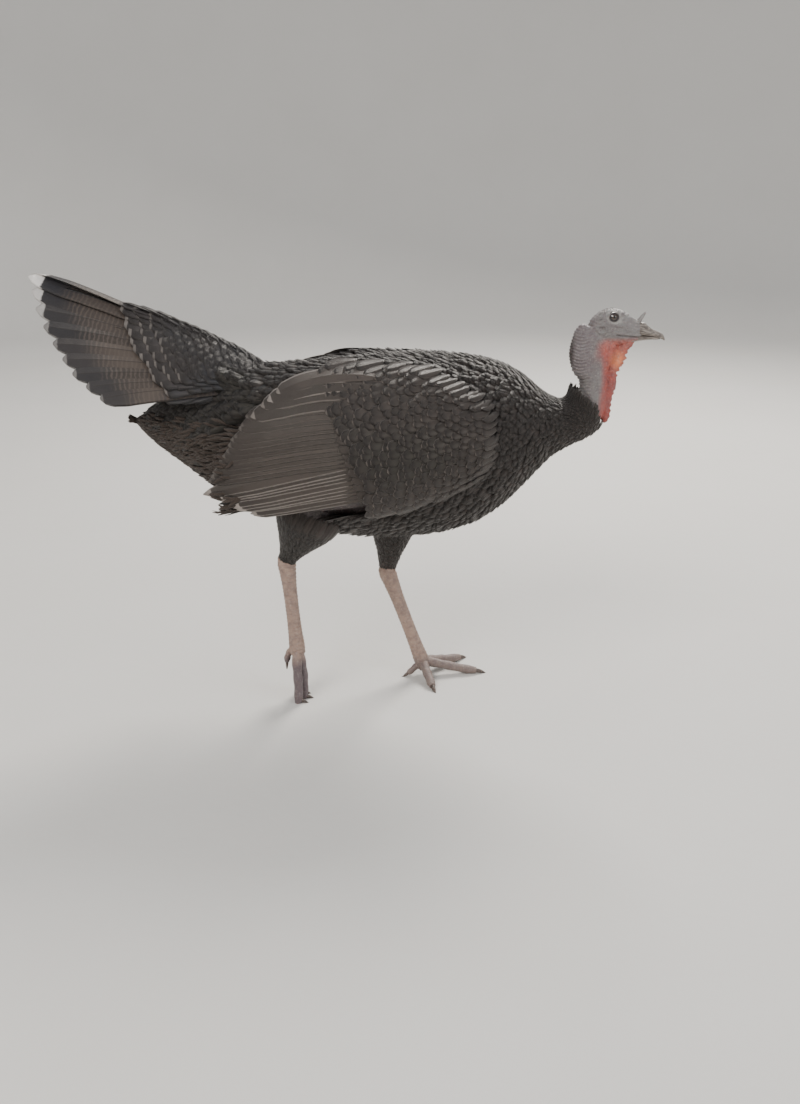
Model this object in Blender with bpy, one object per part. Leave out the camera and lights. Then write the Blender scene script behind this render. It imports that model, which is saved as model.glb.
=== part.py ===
"""A domestic turkey hen, walking, as a still life-size model. Metres, +Z up, the bill towards +X.

The floor is at z = 0 and the origin is below the middle of the bird's box. The far, left foot is set
down flat in front; the near, right foot is just leaving the floor, on the pads of its bunched toes.

The trunk and neck are one lofted form, parted by thin cuts. Every other piece is lofted into its
neighbour and then cut back by a slightly grown copy of it, so that pieces meet with a hairline gap.
"""

from math import cos, pi, radians, sin, tau

import bpy
import numpy as np

GAP = 0.0004  # hairline left between two pieces, at a cut
SIDES = {"left": 1.0, "right": -1.0}  # a side's name and the sign of its y

# Trunk and neck, one row a section: x and z of its widest point, the tilt of the neck's line there
# in degrees, and the reach of the plumage above, below and to each side.
BODY_SECTIONS = (
    (-0.276, 0.388, 0, 0.010, 0.010, 0.010),
    (-0.255, 0.388, 0, 0.026, 0.030, 0.030),
    (-0.225, 0.388, 0, 0.043, 0.054, 0.046),
    (-0.185, 0.386, 0, 0.062, 0.084, 0.062),
    (-0.135, 0.380, 0, 0.082, 0.110, 0.078),
    (-0.080, 0.374, 0, 0.093, 0.126, 0.091),
    (-0.020, 0.368, 0, 0.104, 0.135, 0.101),
    (0.040, 0.366, 0, 0.112, 0.138, 0.105),
    (0.100, 0.366, 0, 0.114, 0.134, 0.104),
    (0.155, 0.370, 0, 0.106, 0.125, 0.096),
    (0.200, 0.376, 0, 0.089, 0.104, 0.082),
    (0.232, 0.381, 2, 0.067, 0.075, 0.063),
    (0.262, 0.384, 8, 0.042, 0.043, 0.042),
    (0.285, 0.388, 20, 0.031, 0.033, 0.032),
    (0.303, 0.398, 44, 0.025, 0.027, 0.026),
    (0.313, 0.415, 70, 0.0205, 0.0220, 0.0205),
    (0.317, 0.438, 91, 0.0180, 0.0175, 0.0180),
    (0.314, 0.457, 97, 0.0255, 0.0215, 0.0180),
    (0.313, 0.477, 92, 0.0295, 0.0300, 0.0185),
    (0.315, 0.495, 80, 0.0275, 0.0280, 0.0180),
    (0.314, 0.508, 70, 0.0175, 0.0180, 0.0120),
)
TRUNK_SPAN = (0.0, 12.0)  # the trunk's share of BODY_SECTIONS, counted in rows
FEATHERED_NECK_SPAN = (12.02, 15.6)
BARE_NECK_SPAN = (15.62, 20.0)

# Head, one row a section: x, z of its widest point, reach above, below and to each side.
HEAD_SECTIONS = (
    (0.3075, 0.5090, 0.0040, 0.0050, 0.0060),
    (0.3100, 0.5090, 0.0100, 0.0130, 0.0112),
    (0.3160, 0.5090, 0.0162, 0.0190, 0.0152),
    (0.3240, 0.5085, 0.0215, 0.0212, 0.0174),
    (0.3350, 0.5085, 0.0242, 0.0208, 0.0180),
    (0.3460, 0.5085, 0.0228, 0.0200, 0.0166),
    (0.3560, 0.5075, 0.0188, 0.0184, 0.0140),
    (0.3640, 0.5065, 0.0142, 0.0156, 0.0114),
    (0.3695, 0.5055, 0.0106, 0.0126, 0.0092),
    (0.3730, 0.5050, 0.0080, 0.0100, 0.0075),
)
HEAD_SQUARENESS = 0.82  # under 1 for a flat crown between the brows
EYE_CENTRE = (0.3350, 0.0106, 0.5232)
EYE_RADIUS = 0.0072

# Bill halves, one row a section: x, z, reach above, below and to each side.
UPPER_BILL_SECTIONS = (
    (0.3660, 0.5040, 0.0095, 0.0045, 0.0085),
    (0.3720, 0.5035, 0.0126, 0.0045, 0.0088),
    (0.3770, 0.5030, 0.0122, 0.0045, 0.0084),
    (0.3830, 0.5020, 0.0085, 0.0042, 0.0074),
    (0.3890, 0.5010, 0.0056, 0.0040, 0.0062),
    (0.3960, 0.4990, 0.0046, 0.0034, 0.0046),
    (0.4020, 0.4965, 0.0038, 0.0030, 0.0030),
    (0.4050, 0.4935, 0.0018, 0.0015, 0.0012),
)
LOWER_BILL_SECTIONS = (
    (0.3580, 0.4950, 0.0030, 0.0060, 0.0085),
    (0.3720, 0.4960, 0.0028, 0.0042, 0.0074),
    (0.3840, 0.4962, 0.0022, 0.0030, 0.0058),
    (0.3940, 0.4955, 0.0018, 0.0022, 0.0040),
    (0.3990, 0.4950, 0.0010, 0.0012, 0.0018),
)
SNOOD_BASE = (0.3692, 0.5150)
SNOOD_TIP = (0.3786, 0.5290)
SNOOD_RADIUS = 0.0031

# Dewlap, from the chin down the front of the neck: x of its middle, z, half depth and half thickness.
WATTLE_SECTIONS = (
    (0.3570, 0.4905, 0.0100, 0.0050),
    (0.3520, 0.4840, 0.0098, 0.0055),
    (0.3480, 0.4770, 0.0096, 0.0055),
    (0.3450, 0.4680, 0.0106, 0.0055),
    (0.3420, 0.4600, 0.0096, 0.0050),
    (0.3380, 0.4500, 0.0085, 0.0048),
    (0.3380, 0.4350, 0.0085, 0.0045),
    (0.3350, 0.4190, 0.0080, 0.0042),
    (0.3340, 0.4050, 0.0076, 0.0040),
    (0.3350, 0.3960, 0.0066, 0.0036),
    (0.3345, 0.3870, 0.0045, 0.0025),
    (0.3340, 0.3840, 0.0015, 0.0010),
)

# Folded wing, one row a section from the wrist to the tip: x, lower edge y and z, upper edge y and z,
# how far the middle swells outwards, and how thick the wing is there.
WING_SECTIONS = (
    (0.206, 0.060, 0.372, 0.056, 0.402, 0.004, 0.012),
    (0.190, 0.070, 0.340, 0.058, 0.430, 0.012, 0.030),
    (0.150, 0.080, 0.312, 0.052, 0.460, 0.024, 0.044),
    (0.090, 0.086, 0.289, 0.044, 0.477, 0.031, 0.046),
    (0.020, 0.090, 0.275, 0.038, 0.480, 0.032, 0.044),
    (-0.045, 0.092, 0.270, 0.044, 0.466, 0.028, 0.036),
    (-0.100, 0.094, 0.276, 0.062, 0.436, 0.018, 0.024),
    (-0.145, 0.092, 0.282, 0.076, 0.400, 0.009, 0.017),
    (-0.180, 0.088, 0.282, 0.081, 0.366, 0.004, 0.013),
    (-0.200, 0.084, 0.292, 0.080, 0.334, 0.001, 0.007),
)

# Tail: a fan of feathers about the rump, pitched up and folded down on each side like a low tent.
RECTRIX_COUNT = 18
TAIL_ROOT = (-0.110, 0.0, 0.447)
TAIL_PITCH = radians(27)  # of the ridge over the floor
TAIL_HALF_SPREAD = radians(31)  # from the ridge to the outermost feather
TAIL_TENT = radians(42)  # how steeply each half hangs from the ridge
TAIL_LENGTH = 0.3237
TAIL_SIDE_SHORTENING = 0.146  # the outermost feathers end this much short of the middle ones
TAIL_DROOP = 0.018  # how far the tips curve down from the ridge's line
TIP_NOTCH = 0.010  # depth of the notch between two feather tips
TAIL_ROOT_HALF_WIDTH = 0.034
# Share of the tail's length, and the thickness there above and below the sheet of feathers: the coverts
# lie over more than half of it.
TAIL_STATIONS = (
    (0.00, 0.016, 0.016),
    (0.14, 0.020, 0.020),
    (0.32, 0.019, 0.022),
    (0.50, 0.014, 0.018),
    (0.62, 0.008, 0.010),
    (0.80, 0.003, 0.004),
    (1.00, 0.002, 0.002),
)

# Legs. The drumstick is feathered, the shank and toes are bare and scaled.
KNEE = {"left": (0.066, 0.038, 0.312), "right": (-0.044, -0.043, 0.290)}
HOCK = {"left": (0.047, 0.040, 0.160), "right": (-0.086, -0.045, 0.207)}
TOE_JOINT = {"left": (0.098, 0.036, 0.020), "right": (-0.076, -0.040, 0.076)}
# Drumstick: share of the way from knee to hock, half depth fore and aft, half width.
DRUMSTICK_SECTIONS = (
    (0.00, 0.055, 0.036),
    (0.25, 0.049, 0.036),
    (0.50, 0.037, 0.030),
    (0.72, 0.0240, 0.0215),
    (0.88, 0.0160, 0.0150),
    (0.94, 0.0132, 0.0120),
)
# Shank: share of the way from hock to toe joint, radius. It starts above the hock, in the drumstick.
SHANK_SECTIONS = (
    (-0.16, 0.0078),
    (-0.05, 0.0098),
    (0.03, 0.0108),
    (0.12, 0.0098),
    (0.30, 0.0084),
    (0.60, 0.0080),
    (0.82, 0.0086),
    (0.97, 0.0096),
    (1.04, 0.0092),
    (1.08, 0.0066),
)
SHANK_DEPTH_FACTOR = 1.18  # a shank is deeper fore and aft than it is wide
# Toes of the foot set down flat: heading from straight ahead, outwards, and length to the claw's root.
FLAT_TOES = {
    "inner": (-74, 0.050),
    "middle": (2, 0.079),
    "outer": (40, 0.074),
    "back": (-162, 0.022),
}
# Toes of the foot that is leaving the floor hang from the joint, bunched, and stand on their tips. Each
# is a curve of four points from the joint, as x, outwards and z.
HANGING_TOES = {
    "inner": ((0.0, -0.005, 0.0), (-0.002, -0.013, -0.020), (0.004, -0.014, -0.045), (0.001, -0.014, -0.077)),
    "middle": ((0.001, 0.0, 0.0), (0.005, 0.0, -0.020), (0.010, 0.0, -0.045), (0.006, 0.0, -0.077)),
    "outer": ((0.0, 0.005, 0.0), (-0.002, 0.013, -0.020), (0.003, 0.014, -0.045), (0.0, 0.014, -0.077)),
    "back": ((0.0, -0.002, 0.002), (-0.008, -0.004, 0.0), (-0.015, -0.008, -0.010), (-0.016, -0.010, -0.024)),
}
HANGING_CLAW_HEIGHT = 0.0045  # of a claw's root over the floor, on a toe that stands on its tip
# Radii of a toe from inside the shank's end to its tip: the pads bulge between the joints.
TOE_RADII = (0.0038, 0.0066, 0.0072, 0.0062, 0.0069, 0.0060, 0.0066, 0.0048)
TOE_FLOOR_HEIGHT = 0.0043  # of a toe tip's middle: its radius less the flat of the pad
BACK_TOE_SCALE = 0.72
CLAW_LENGTH = 0.015
CLAW_RADIUS = 0.0032

COLOURS = {
    "body_feathers": ((0.030, 0.025, 0.024), 0.55),
    "wing_feathers": ((0.055, 0.046, 0.043), 0.50),
    "tail_feathers": ((0.045, 0.038, 0.036), 0.50),
    "head_skin": ((0.30, 0.29, 0.30), 0.60),
    "red_skin": ((0.50, 0.10, 0.07), 0.45),
    "bill_horn": ((0.20, 0.17, 0.15), 0.40),
    "eye": ((0.012, 0.008, 0.006), 0.08),
    "leg_scales": ((0.36, 0.26, 0.22), 0.50),
    "claw_horn": ((0.10, 0.08, 0.07), 0.40),
}


def new_collection(name):
    collection = bpy.data.collections.new(name)
    bpy.context.scene.collection.children.link(collection)
    return collection


def clear_scene():
    for obj in list(bpy.data.objects):
        bpy.data.objects.remove(obj, do_unlink=True)


def make_material(name):
    colour, roughness = COLOURS[name]
    material = bpy.data.materials.new(name)
    material.use_nodes = True
    shader = material.node_tree.nodes["Principled BSDF"]
    shader.inputs["Base Color"].default_value = (*colour, 1)
    shader.inputs["Roughness"].default_value = roughness
    shader.inputs["Metallic"].default_value = 0.0
    return material


def smooth_rows(rows, places):
    """Rows of numbers read at fractional places between them, along monotone cubics that never overshoot."""
    table = np.array(rows, float)
    step = np.diff(table, axis=0)
    slope = np.zeros_like(table)
    before, after = step[:-1], step[1:]
    same_way = before * after > 0
    total = np.where(same_way, before + after, 1.0)
    slope[1:-1] = np.where(same_way, 2 * before * after / total, 0.0)
    slope[0], slope[-1] = step[0], step[-1]
    places = np.clip(np.asarray(places, float), 0, len(table) - 1)
    low = np.minimum(places.astype(int), len(table) - 2)
    t = (places - low)[:, None]
    return (
        table[low] * (1 + 2 * t) * (1 - t) ** 2
        + slope[low] * t * (1 - t) ** 2
        + table[low + 1] * t**2 * (3 - 2 * t)
        + slope[low + 1] * t**2 * (t - 1)
    )


def oval(above, below, side, count, squareness=1.0, turn=0.0):
    """(sideways, upwards) points round an egg-shaped section. A turn of half a side gives it a flat base."""
    angle = (np.arange(count) + turn) * tau / count
    across, up = np.cos(angle), np.sin(angle)
    across = np.sign(across) * np.abs(across) ** squareness
    up = np.sign(up) * np.abs(up) ** squareness
    return np.stack([side * across, np.where(up > 0, above, below) * up], axis=1)


def loft(name, rings, material, collection):
    """A closed body through rings of equal length, with a flat cap on each end."""
    rings = np.asarray(rings, float)
    ring_count, side_count = rings.shape[:2]
    index = np.arange(ring_count * side_count).reshape(ring_count, side_count)
    following = np.roll(index, -1, axis=1)
    quads = np.stack([index[:-1], following[:-1], following[1:], index[1:]], axis=-1)
    faces = quads.reshape(-1, 4).tolist()
    faces += [index[0][::-1].tolist(), index[-1].tolist()]
    mesh = bpy.data.meshes.new(name)
    mesh.from_pydata(rings.reshape(-1, 3).tolist(), [], faces)
    turn_outwards(mesh)
    mesh.materials.append(material)
    mesh.shade_smooth()
    obj = bpy.data.objects.new(name, mesh)
    collection.objects.link(obj)
    return obj


def turn_outwards(mesh):
    """Flips every face of a closed mesh that encloses a negative volume."""
    mesh.calc_loop_triangles()
    points = np.array([v.co for v in mesh.vertices])
    corners = points[np.array([t.vertices for t in mesh.loop_triangles])]
    if np.einsum("ij,ij->i", corners[:, 0], np.cross(corners[:, 1], corners[:, 2])).sum() < 0:
        mesh.flip_normals()


def section_rings(centres, ups, ovals):
    """Rings standing across the bird's middle plane: sideways is +Y, upwards is each section's own."""
    side = np.array([0.0, 1.0, 0.0])
    return [c + o[:, :1] * side + o[:, 1:] * u for c, u, o in zip(centres, ups, ovals)]


def limb_rings(path, widths, count, depths=None):
    """Rings across a path in space. Depth lies in the upright plane of the path, width across it."""
    depths = widths if depths is None else depths
    path = np.asarray(path, float)
    along = np.gradient(path, axis=0)
    along /= np.linalg.norm(along, axis=1)[:, None]
    chord = path[-1] - path[0]
    heading = chord * (1, 1, 0) if np.hypot(*chord[:2]) > abs(chord[2]) / 3 else np.array([1.0, 0, 0])
    across = np.cross((0, 0, 1), heading / np.linalg.norm(heading))
    rings = []
    for point, forward, width, depth in zip(path, along, widths, depths):
        side = across - forward * (across @ forward)
        side /= np.linalg.norm(side)
        up = np.cross(forward, side)
        flat = oval(depth, depth, width, count, turn=0.5)
        rings.append(point + flat[:, :1] * side + flat[:, 1:] * up)
    return np.array(rings)


def bezier(points, places):
    """Points of a cubic curve through its two ends, at shares of its length given in places."""
    a, b, c, d = np.array(points, float)
    t = np.asarray(places, float)[:, None]
    return a * (1 - t) ** 3 + 3 * b * t * (1 - t) ** 2 + 3 * c * t**2 * (1 - t) + d * t**3


def grown_copy(obj, cutters, by=GAP):
    """A helper that is obj's uncut form, larger by the hairline, for cutting its neighbours."""
    name = f"{obj.name}_cutter"
    if name in cutters.objects:
        return cutters.objects[name]
    mesh = obj.data.copy()
    normals = np.array([v.normal for v in mesh.vertices])
    points = np.array([v.co for v in mesh.vertices]) + normals * by
    mesh.vertices.foreach_set("co", points.astype(np.float32).ravel())
    cutter = bpy.data.objects.new(name, mesh)
    cutter.hide_render = True
    cutter.display_type = "WIRE"
    cutters.objects.link(cutter)
    return cutter


def cut_by(obj, neighbours, cutters):
    """Cuts obj back from each neighbour by a hairline."""
    for neighbour in neighbours:
        modifier = obj.modifiers.new(f"clear_of_{neighbour.name}", "BOOLEAN")
        modifier.operation = "DIFFERENCE"
        modifier.solver = "EXACT"
        modifier.object = grown_copy(neighbour, cutters)


def body_length(name, span, ring_count, side_count, material, collection):
    """One length of the trunk and neck, between two places in BODY_SECTIONS."""
    rows = smooth_rows(BODY_SECTIONS, np.linspace(*span, ring_count))
    tilt = np.radians(rows[:, 2])
    centres = np.stack([rows[:, 0], np.zeros(len(rows)), rows[:, 1]], axis=1)
    ups = np.stack([-np.sin(tilt), np.zeros(len(rows)), np.cos(tilt)], axis=1)
    ovals = [oval(row[3], row[4], row[5], side_count) for row in rows]
    return loft(name, section_rings(centres, ups, ovals), material, collection)


def level_form(name, sections, ring_count, side_count, material, collection, squareness=1.0):
    """A head or bill piece: upright sections along X."""
    rows = smooth_rows(sections, np.linspace(0, len(sections) - 1, ring_count))
    centres = np.stack([rows[:, 0], np.zeros(len(rows)), rows[:, 1]], axis=1)
    ups = np.tile((0.0, 0.0, 1.0), (len(rows), 1))
    ovals = [oval(row[2], row[3], row[4], side_count, squareness) for row in rows]
    return loft(name, section_rings(centres, ups, ovals), material, collection)


def make_eye(side, material, collection):
    bpy.ops.mesh.primitive_uv_sphere_add(segments=14, ring_count=9, radius=EYE_RADIUS)
    eye = bpy.context.object
    eye.name = f"eye_{side}"
    x, y, z = EYE_CENTRE
    eye.location = (x, y * SIDES[side], z)
    eye.rotation_euler = (pi / 2, 0, 0)
    eye.data.materials.append(material)
    eye.data.shade_smooth()
    for holder in list(eye.users_collection):
        holder.objects.unlink(eye)
    collection.objects.link(eye)
    bpy.context.view_layer.update()
    eye.data.transform(eye.matrix_world)
    eye.matrix_world.identity()
    return eye


def make_snood(material, collection):
    """The short fleshy horn over the root of the bill."""
    base, tip = np.array(SNOOD_BASE), np.array(SNOOD_TIP)
    shares = np.array([-0.4, 0.0, 0.35, 0.7, 0.9, 1.0])
    widths = np.array([1.25, 1.15, 0.9, 0.7, 0.5, 0.2])
    flat = base + (tip - base) * shares[:, None]
    path = np.stack([flat[:, 0], np.zeros(len(flat)), flat[:, 1]], axis=1)
    return loft("snood", limb_rings(path, SNOOD_RADIUS * widths, 8), material, collection)


def make_wattle(material, collection):
    """The thin red fold that hangs from the chin down the front of the neck."""
    rows = smooth_rows(WATTLE_SECTIONS, np.linspace(0, len(WATTLE_SECTIONS) - 1, 12))
    angle = np.arange(10) * tau / 10
    rings = [
        np.stack([x + depth * np.cos(angle), half * np.sin(angle), np.full(10, z)], axis=1)
        for x, z, depth, half in rows
    ]
    return loft("wattle", rings, material, collection)


def make_wing(side, material, collection):
    """The folded wing: a lens-shaped panel from the wrist to the tip, swelling round the flank."""
    rows = smooth_rows(WING_SECTIONS, np.linspace(0, len(WING_SECTIONS) - 1, 19))
    across = (1 - np.cos(np.linspace(0, pi, 9))) / 2
    rings = []
    for x, low_y, low_z, high_y, high_z, swell, thick in rows:
        bow = 4 * across * (1 - across)
        middle = low_y + (high_y - low_y) * across + swell * bow
        half = thick / 2 * bow**0.5
        height = low_z + (high_z - low_z) * across
        y = np.concatenate([middle + half, (middle - half)[-2:0:-1]])
        z = np.concatenate([height, height[-2:0:-1]])
        rings.append(np.stack([np.full(len(y), x), SIDES[side] * y, z], axis=1))
    return loft(f"wing_{side}", rings, material, collection)


def make_tail(material, collection):
    """The half-spread tail: rows of points across the fan, above and below, out to notched tips."""
    per_feather = 3
    column_count = RECTRIX_COUNT * per_feather + 1
    share = np.linspace(-1, 1, column_count)
    angle = share * TAIL_HALF_SPREAD
    reach = TAIL_LENGTH - TAIL_SIDE_SHORTENING * np.abs(share) ** 1.15
    reach[::per_feather] -= TIP_NOTCH
    backwards = np.array([-cos(TAIL_PITCH), 0.0, sin(TAIL_PITCH)])
    upwards = np.array([sin(TAIL_PITCH), 0.0, cos(TAIL_PITCH)])
    rings = []
    for station, over, under in TAIL_STATIONS:
        radius = reach * station
        out = np.sign(angle) * (TAIL_ROOT_HALF_WIDTH * np.abs(share) + radius * np.sin(np.abs(angle)))
        ahead = radius * np.cos(angle)
        bend = 1 - np.exp(-np.abs(out) / TAIL_ROOT_HALF_WIDTH)
        drop = np.abs(out) * sin(TAIL_TENT) * bend + TAIL_DROOP * station**3
        y = out * cos(TAIL_TENT)
        sheet = ahead[:, None] * backwards + y[:, None] * (0, 1, 0) - drop[:, None] * upwards
        full = np.ones((column_count, 1))
        full[[0, -1]] = 0.3
        above = sheet + over * full * upwards
        below = (sheet - under * full * upwards)[-2:0:-1]
        rings.append(np.concatenate([above, below]) + TAIL_ROOT)
    return loft("tail", rings, material, collection)


def make_drumstick(side, material, collection):
    knee, hock = np.array(KNEE[side]), np.array(HOCK[side])
    share, depths, widths = np.array(DRUMSTICK_SECTIONS).T
    rings = limb_rings(knee + (hock - knee) * share[:, None], widths, 14, depths)
    return loft(f"drumstick_{side}", rings, material, collection)


def make_shank(side, material, collection):
    """The bare, scaled shank, which bends at the hock and runs up into the drumstick."""
    knee, hock, joint = (np.array(place[side]) for place in (KNEE, HOCK, TOE_JOINT))
    share, radii = np.array(SHANK_SECTIONS).T
    below = hock + (joint - hock) * share[:, None]
    above = hock + (hock - knee) * share[:, None]
    path = np.where(share[:, None] > 0, below, above)
    rings = limb_rings(path, radii, 12, radii * SHANK_DEPTH_FACTOR)
    return loft(f"shank_{side}", rings, material, collection)


def toe_path(side, toe):
    """The four control points of a toe's curve, from inside the shank's end to the claw's root."""
    joint = np.array(TOE_JOINT[side])
    if side == "right":
        return joint + np.array(HANGING_TOES[toe]) * (1, SIDES[side], 1)
    heading, length = FLAT_TOES[toe]
    turn = radians(heading) * SIDES[side]
    ahead = np.array([cos(turn), sin(turn), 0.0])
    tip = joint * (1, 1, 0) + ahead * length + (0, 0, TOE_FLOOR_HEIGHT)
    return [joint, joint + ahead * length * 0.25, tip - ahead * length * 0.45 + (0, 0, 0.005), tip]


def make_toe(side, toe, material, collection):
    """A toe whose pads bulge between the joints and are flat where they meet the floor."""
    path = bezier(toe_path(side, toe), np.linspace(0, 1, len(TOE_RADII)))
    size = BACK_TOE_SCALE if toe == "back" else 1.0
    rings = limb_rings(path, size * np.array(TOE_RADII), 8)
    rings[..., 2] = np.maximum(rings[..., 2], 0.0)
    return loft(f"toe_{toe}_{side}", rings, material, collection)


def make_claw(side, toe, material, collection):
    """A blunt, slightly hooked claw that grows out of the toe's end."""
    control = np.array(toe_path(side, toe))
    forward = control[3] - control[2]
    if side == "right" and toe != "back":
        forward = np.array([1.0, 0.0, -0.15])
        control[3, 2] = HANGING_CLAW_HEIGHT
    forward /= np.linalg.norm(forward)
    size = BACK_TOE_SCALE if toe == "back" else 1.0
    shares = np.array([-0.25, 0.1, 0.45, 0.8, 1.0])
    path = control[3] + forward * CLAW_LENGTH * size * shares[:, None]
    path[:, 2] -= 0.0035 * size * np.clip(shares, 0, 1) ** 2
    radii = CLAW_RADIUS * size * np.array([1.0, 1.0, 0.85, 0.5, 0.18])
    rings = limb_rings(path, radii, 6)
    rings[..., 2] = np.maximum(rings[..., 2], 0.0003)
    return loft(f"claw_{toe}_{side}", rings, material, collection)


def make_leg(side, trunk, materials, parts, cutters):
    """Drumstick, shank, four toes and their claws, each cut back from what it grows out of."""
    drumstick = make_drumstick(side, materials["body_feathers"], parts)
    cut_by(drumstick, [trunk], cutters)
    shank = make_shank(side, materials["leg_scales"], parts)
    cut_by(shank, [drumstick], cutters)
    placed = [shank]
    for toe in ("middle", "inner", "outer", "back"):
        piece = make_toe(side, toe, materials["leg_scales"], parts)
        cut_by(piece, placed, cutters)
        placed.append(piece)
        claw = make_claw(side, toe, materials["claw_horn"], parts)
        cut_by(claw, [piece], cutters)


def make_head(materials, bare_neck, feathered_neck, parts, cutters):
    """Head with its eyes, bill, snood and wattle."""
    head = level_form("head", HEAD_SECTIONS, 13, 18, materials["head_skin"], parts, HEAD_SQUARENESS)
    eyes = [make_eye(side, materials["eye"], parts) for side in SIDES]
    cut_by(head, eyes, cutters)
    cut_by(bare_neck, [head], cutters)
    upper = level_form("bill_upper", UPPER_BILL_SECTIONS, 9, 10, materials["bill_horn"], parts)
    cut_by(upper, [head], cutters)
    lower = level_form("bill_lower", LOWER_BILL_SECTIONS, 7, 10, materials["bill_horn"], parts)
    cut_by(lower, [head, upper], cutters)
    snood = make_snood(materials["head_skin"], parts)
    cut_by(snood, [head, upper], cutters)
    wattle = make_wattle(materials["red_skin"], parts)
    cut_by(wattle, [head, lower, bare_neck, feathered_neck], cutters)


def main():
    clear_scene()
    parts = new_collection("domestic_turkey")
    cutters = new_collection("cutters")
    materials = {name: make_material(name) for name in COLOURS}
    plumage = materials["body_feathers"]
    trunk = body_length("trunk", TRUNK_SPAN, 26, 22, plumage, parts)
    feathered_neck = body_length("neck_feathered", FEATHERED_NECK_SPAN, 9, 18, plumage, parts)
    bare_neck = body_length("neck_bare", BARE_NECK_SPAN, 9, 18, materials["head_skin"], parts)
    make_head(materials, bare_neck, feathered_neck, parts, cutters)
    wings = {side: make_wing(side, materials["wing_feathers"], parts) for side in SIDES}
    for wing in wings.values():
        cut_by(wing, [trunk], cutters)
    tail = make_tail(materials["tail_feathers"], parts)
    cut_by(tail, [trunk, *wings.values()], cutters)
    for side in SIDES:
        make_leg(side, trunk, materials, parts, cutters)


main()
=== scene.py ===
"""A domestic turkey hen, walking: a still, life-size model. Metres, +Z up, the bill towards +X.

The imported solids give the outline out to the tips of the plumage. One skin lies inside them by the
coat's depth and comes to the surface on the head, neck and legs, and the feathers are closed vanes
laid over it in rows. Bill, eyes and claws are pieces of their own.
"""

import bmesh
import bpy
import numpy as np
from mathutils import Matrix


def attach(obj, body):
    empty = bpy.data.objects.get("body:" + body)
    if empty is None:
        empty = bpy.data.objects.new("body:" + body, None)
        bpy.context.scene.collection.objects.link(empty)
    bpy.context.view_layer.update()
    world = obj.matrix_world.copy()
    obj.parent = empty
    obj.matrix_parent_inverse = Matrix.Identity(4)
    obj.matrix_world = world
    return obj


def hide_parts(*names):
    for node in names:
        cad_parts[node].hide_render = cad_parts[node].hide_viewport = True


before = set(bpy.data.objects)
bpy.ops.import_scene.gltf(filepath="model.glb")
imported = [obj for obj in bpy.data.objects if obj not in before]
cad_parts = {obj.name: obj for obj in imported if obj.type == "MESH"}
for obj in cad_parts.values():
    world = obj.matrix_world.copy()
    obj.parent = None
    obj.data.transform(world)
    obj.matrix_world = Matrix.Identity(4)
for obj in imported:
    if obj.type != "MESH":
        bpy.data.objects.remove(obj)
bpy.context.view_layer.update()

# Studio: a pale floor that turns up into a wall all round, soft lamps overhead and a camera beside the
# bird, a little above its back, looking down on it.
FLOOR_RADIUS = 3.4
WALL_RADIUS = 5.2
WALL_HEIGHT = 3.6
CAMERA_PLACE = (0.0655, -1.42, 0.72)
CAMERA_TILT = np.radians(70)  # from straight down
CAMERA_LENS = 35.87  # mm, on a sensor 36 mm high
BIRD_MIDDLE = (0.0, 0.0, 0.35)
LAMPS = (  # name, place, size, watts and colour of each
    ("key_lamp", (-1.3, -2.0, 2.3), 1.6, 60, (1.0, 0.97, 0.93)),
    ("fill_lamp", (2.2, -1.4, 1.3), 1.8, 22, (0.94, 0.97, 1.0)),
    ("rim_lamp", (0.9, 1.9, 2.2), 1.2, 95, (1.0, 0.96, 0.9)),
)
AIR_COLOUR, AIR_STRENGTH = (0.95, 0.97, 1.0, 1.0), 0.62


def make_mesh(name, points, *faces):
    """A mesh object from (n, 3) points and arrays of faces, each with one row of corners a face."""
    corners = np.concatenate([f.ravel() for f in faces]).astype(np.int32)
    sizes = np.concatenate([np.full(len(f), f.shape[1]) for f in faces])
    mesh = bpy.data.meshes.new(name)
    mesh.vertices.add(len(points))
    mesh.vertices.foreach_set("co", np.ascontiguousarray(points, np.float32).ravel())
    mesh.loops.add(len(corners))
    mesh.loops.foreach_set("vertex_index", corners)
    mesh.polygons.add(len(sizes))
    mesh.polygons.foreach_set("loop_start", (np.cumsum(sizes) - sizes).astype(np.int32))
    mesh.update(calc_edges=True)
    mesh.shade_smooth()
    obj = bpy.data.objects.new(name, mesh)
    bpy.context.scene.collection.objects.link(obj)
    return obj


def grid_faces(rows, columns):
    """Quads of a grid of points whose last column joins its first."""
    index = np.arange(rows * columns).reshape(rows, columns)
    turned = np.roll(index, -1, axis=1)
    return np.stack([index[:-1], turned[:-1], turned[1:], index[1:]], axis=-1).reshape(-1, 4)


def make_floor(sides=96, rounds=24):
    """A disc whose rim rises along a quarter of an oval: radius and height by the turned angle."""
    turn = np.linspace(0, np.pi / 2, rounds)
    radius = np.concatenate([[0.02, 0.8, 2.0], FLOOR_RADIUS + (WALL_RADIUS - FLOOR_RADIUS) * np.sin(turn)])
    height = np.concatenate([[0, 0, 0], WALL_HEIGHT * (1 - np.cos(turn))])
    angle = np.arange(sides) * 2 * np.pi / sides
    x, y = radius[:, None] * np.cos(angle), radius[:, None] * np.sin(angle)
    points = np.stack([x, y, np.repeat(height[:, None], sides, axis=1)], axis=-1)
    middle = np.arange(sides)[None, :]
    return make_mesh("floor", points.reshape(-1, 3), grid_faces(len(radius), sides)[:, ::-1], middle)


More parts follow.
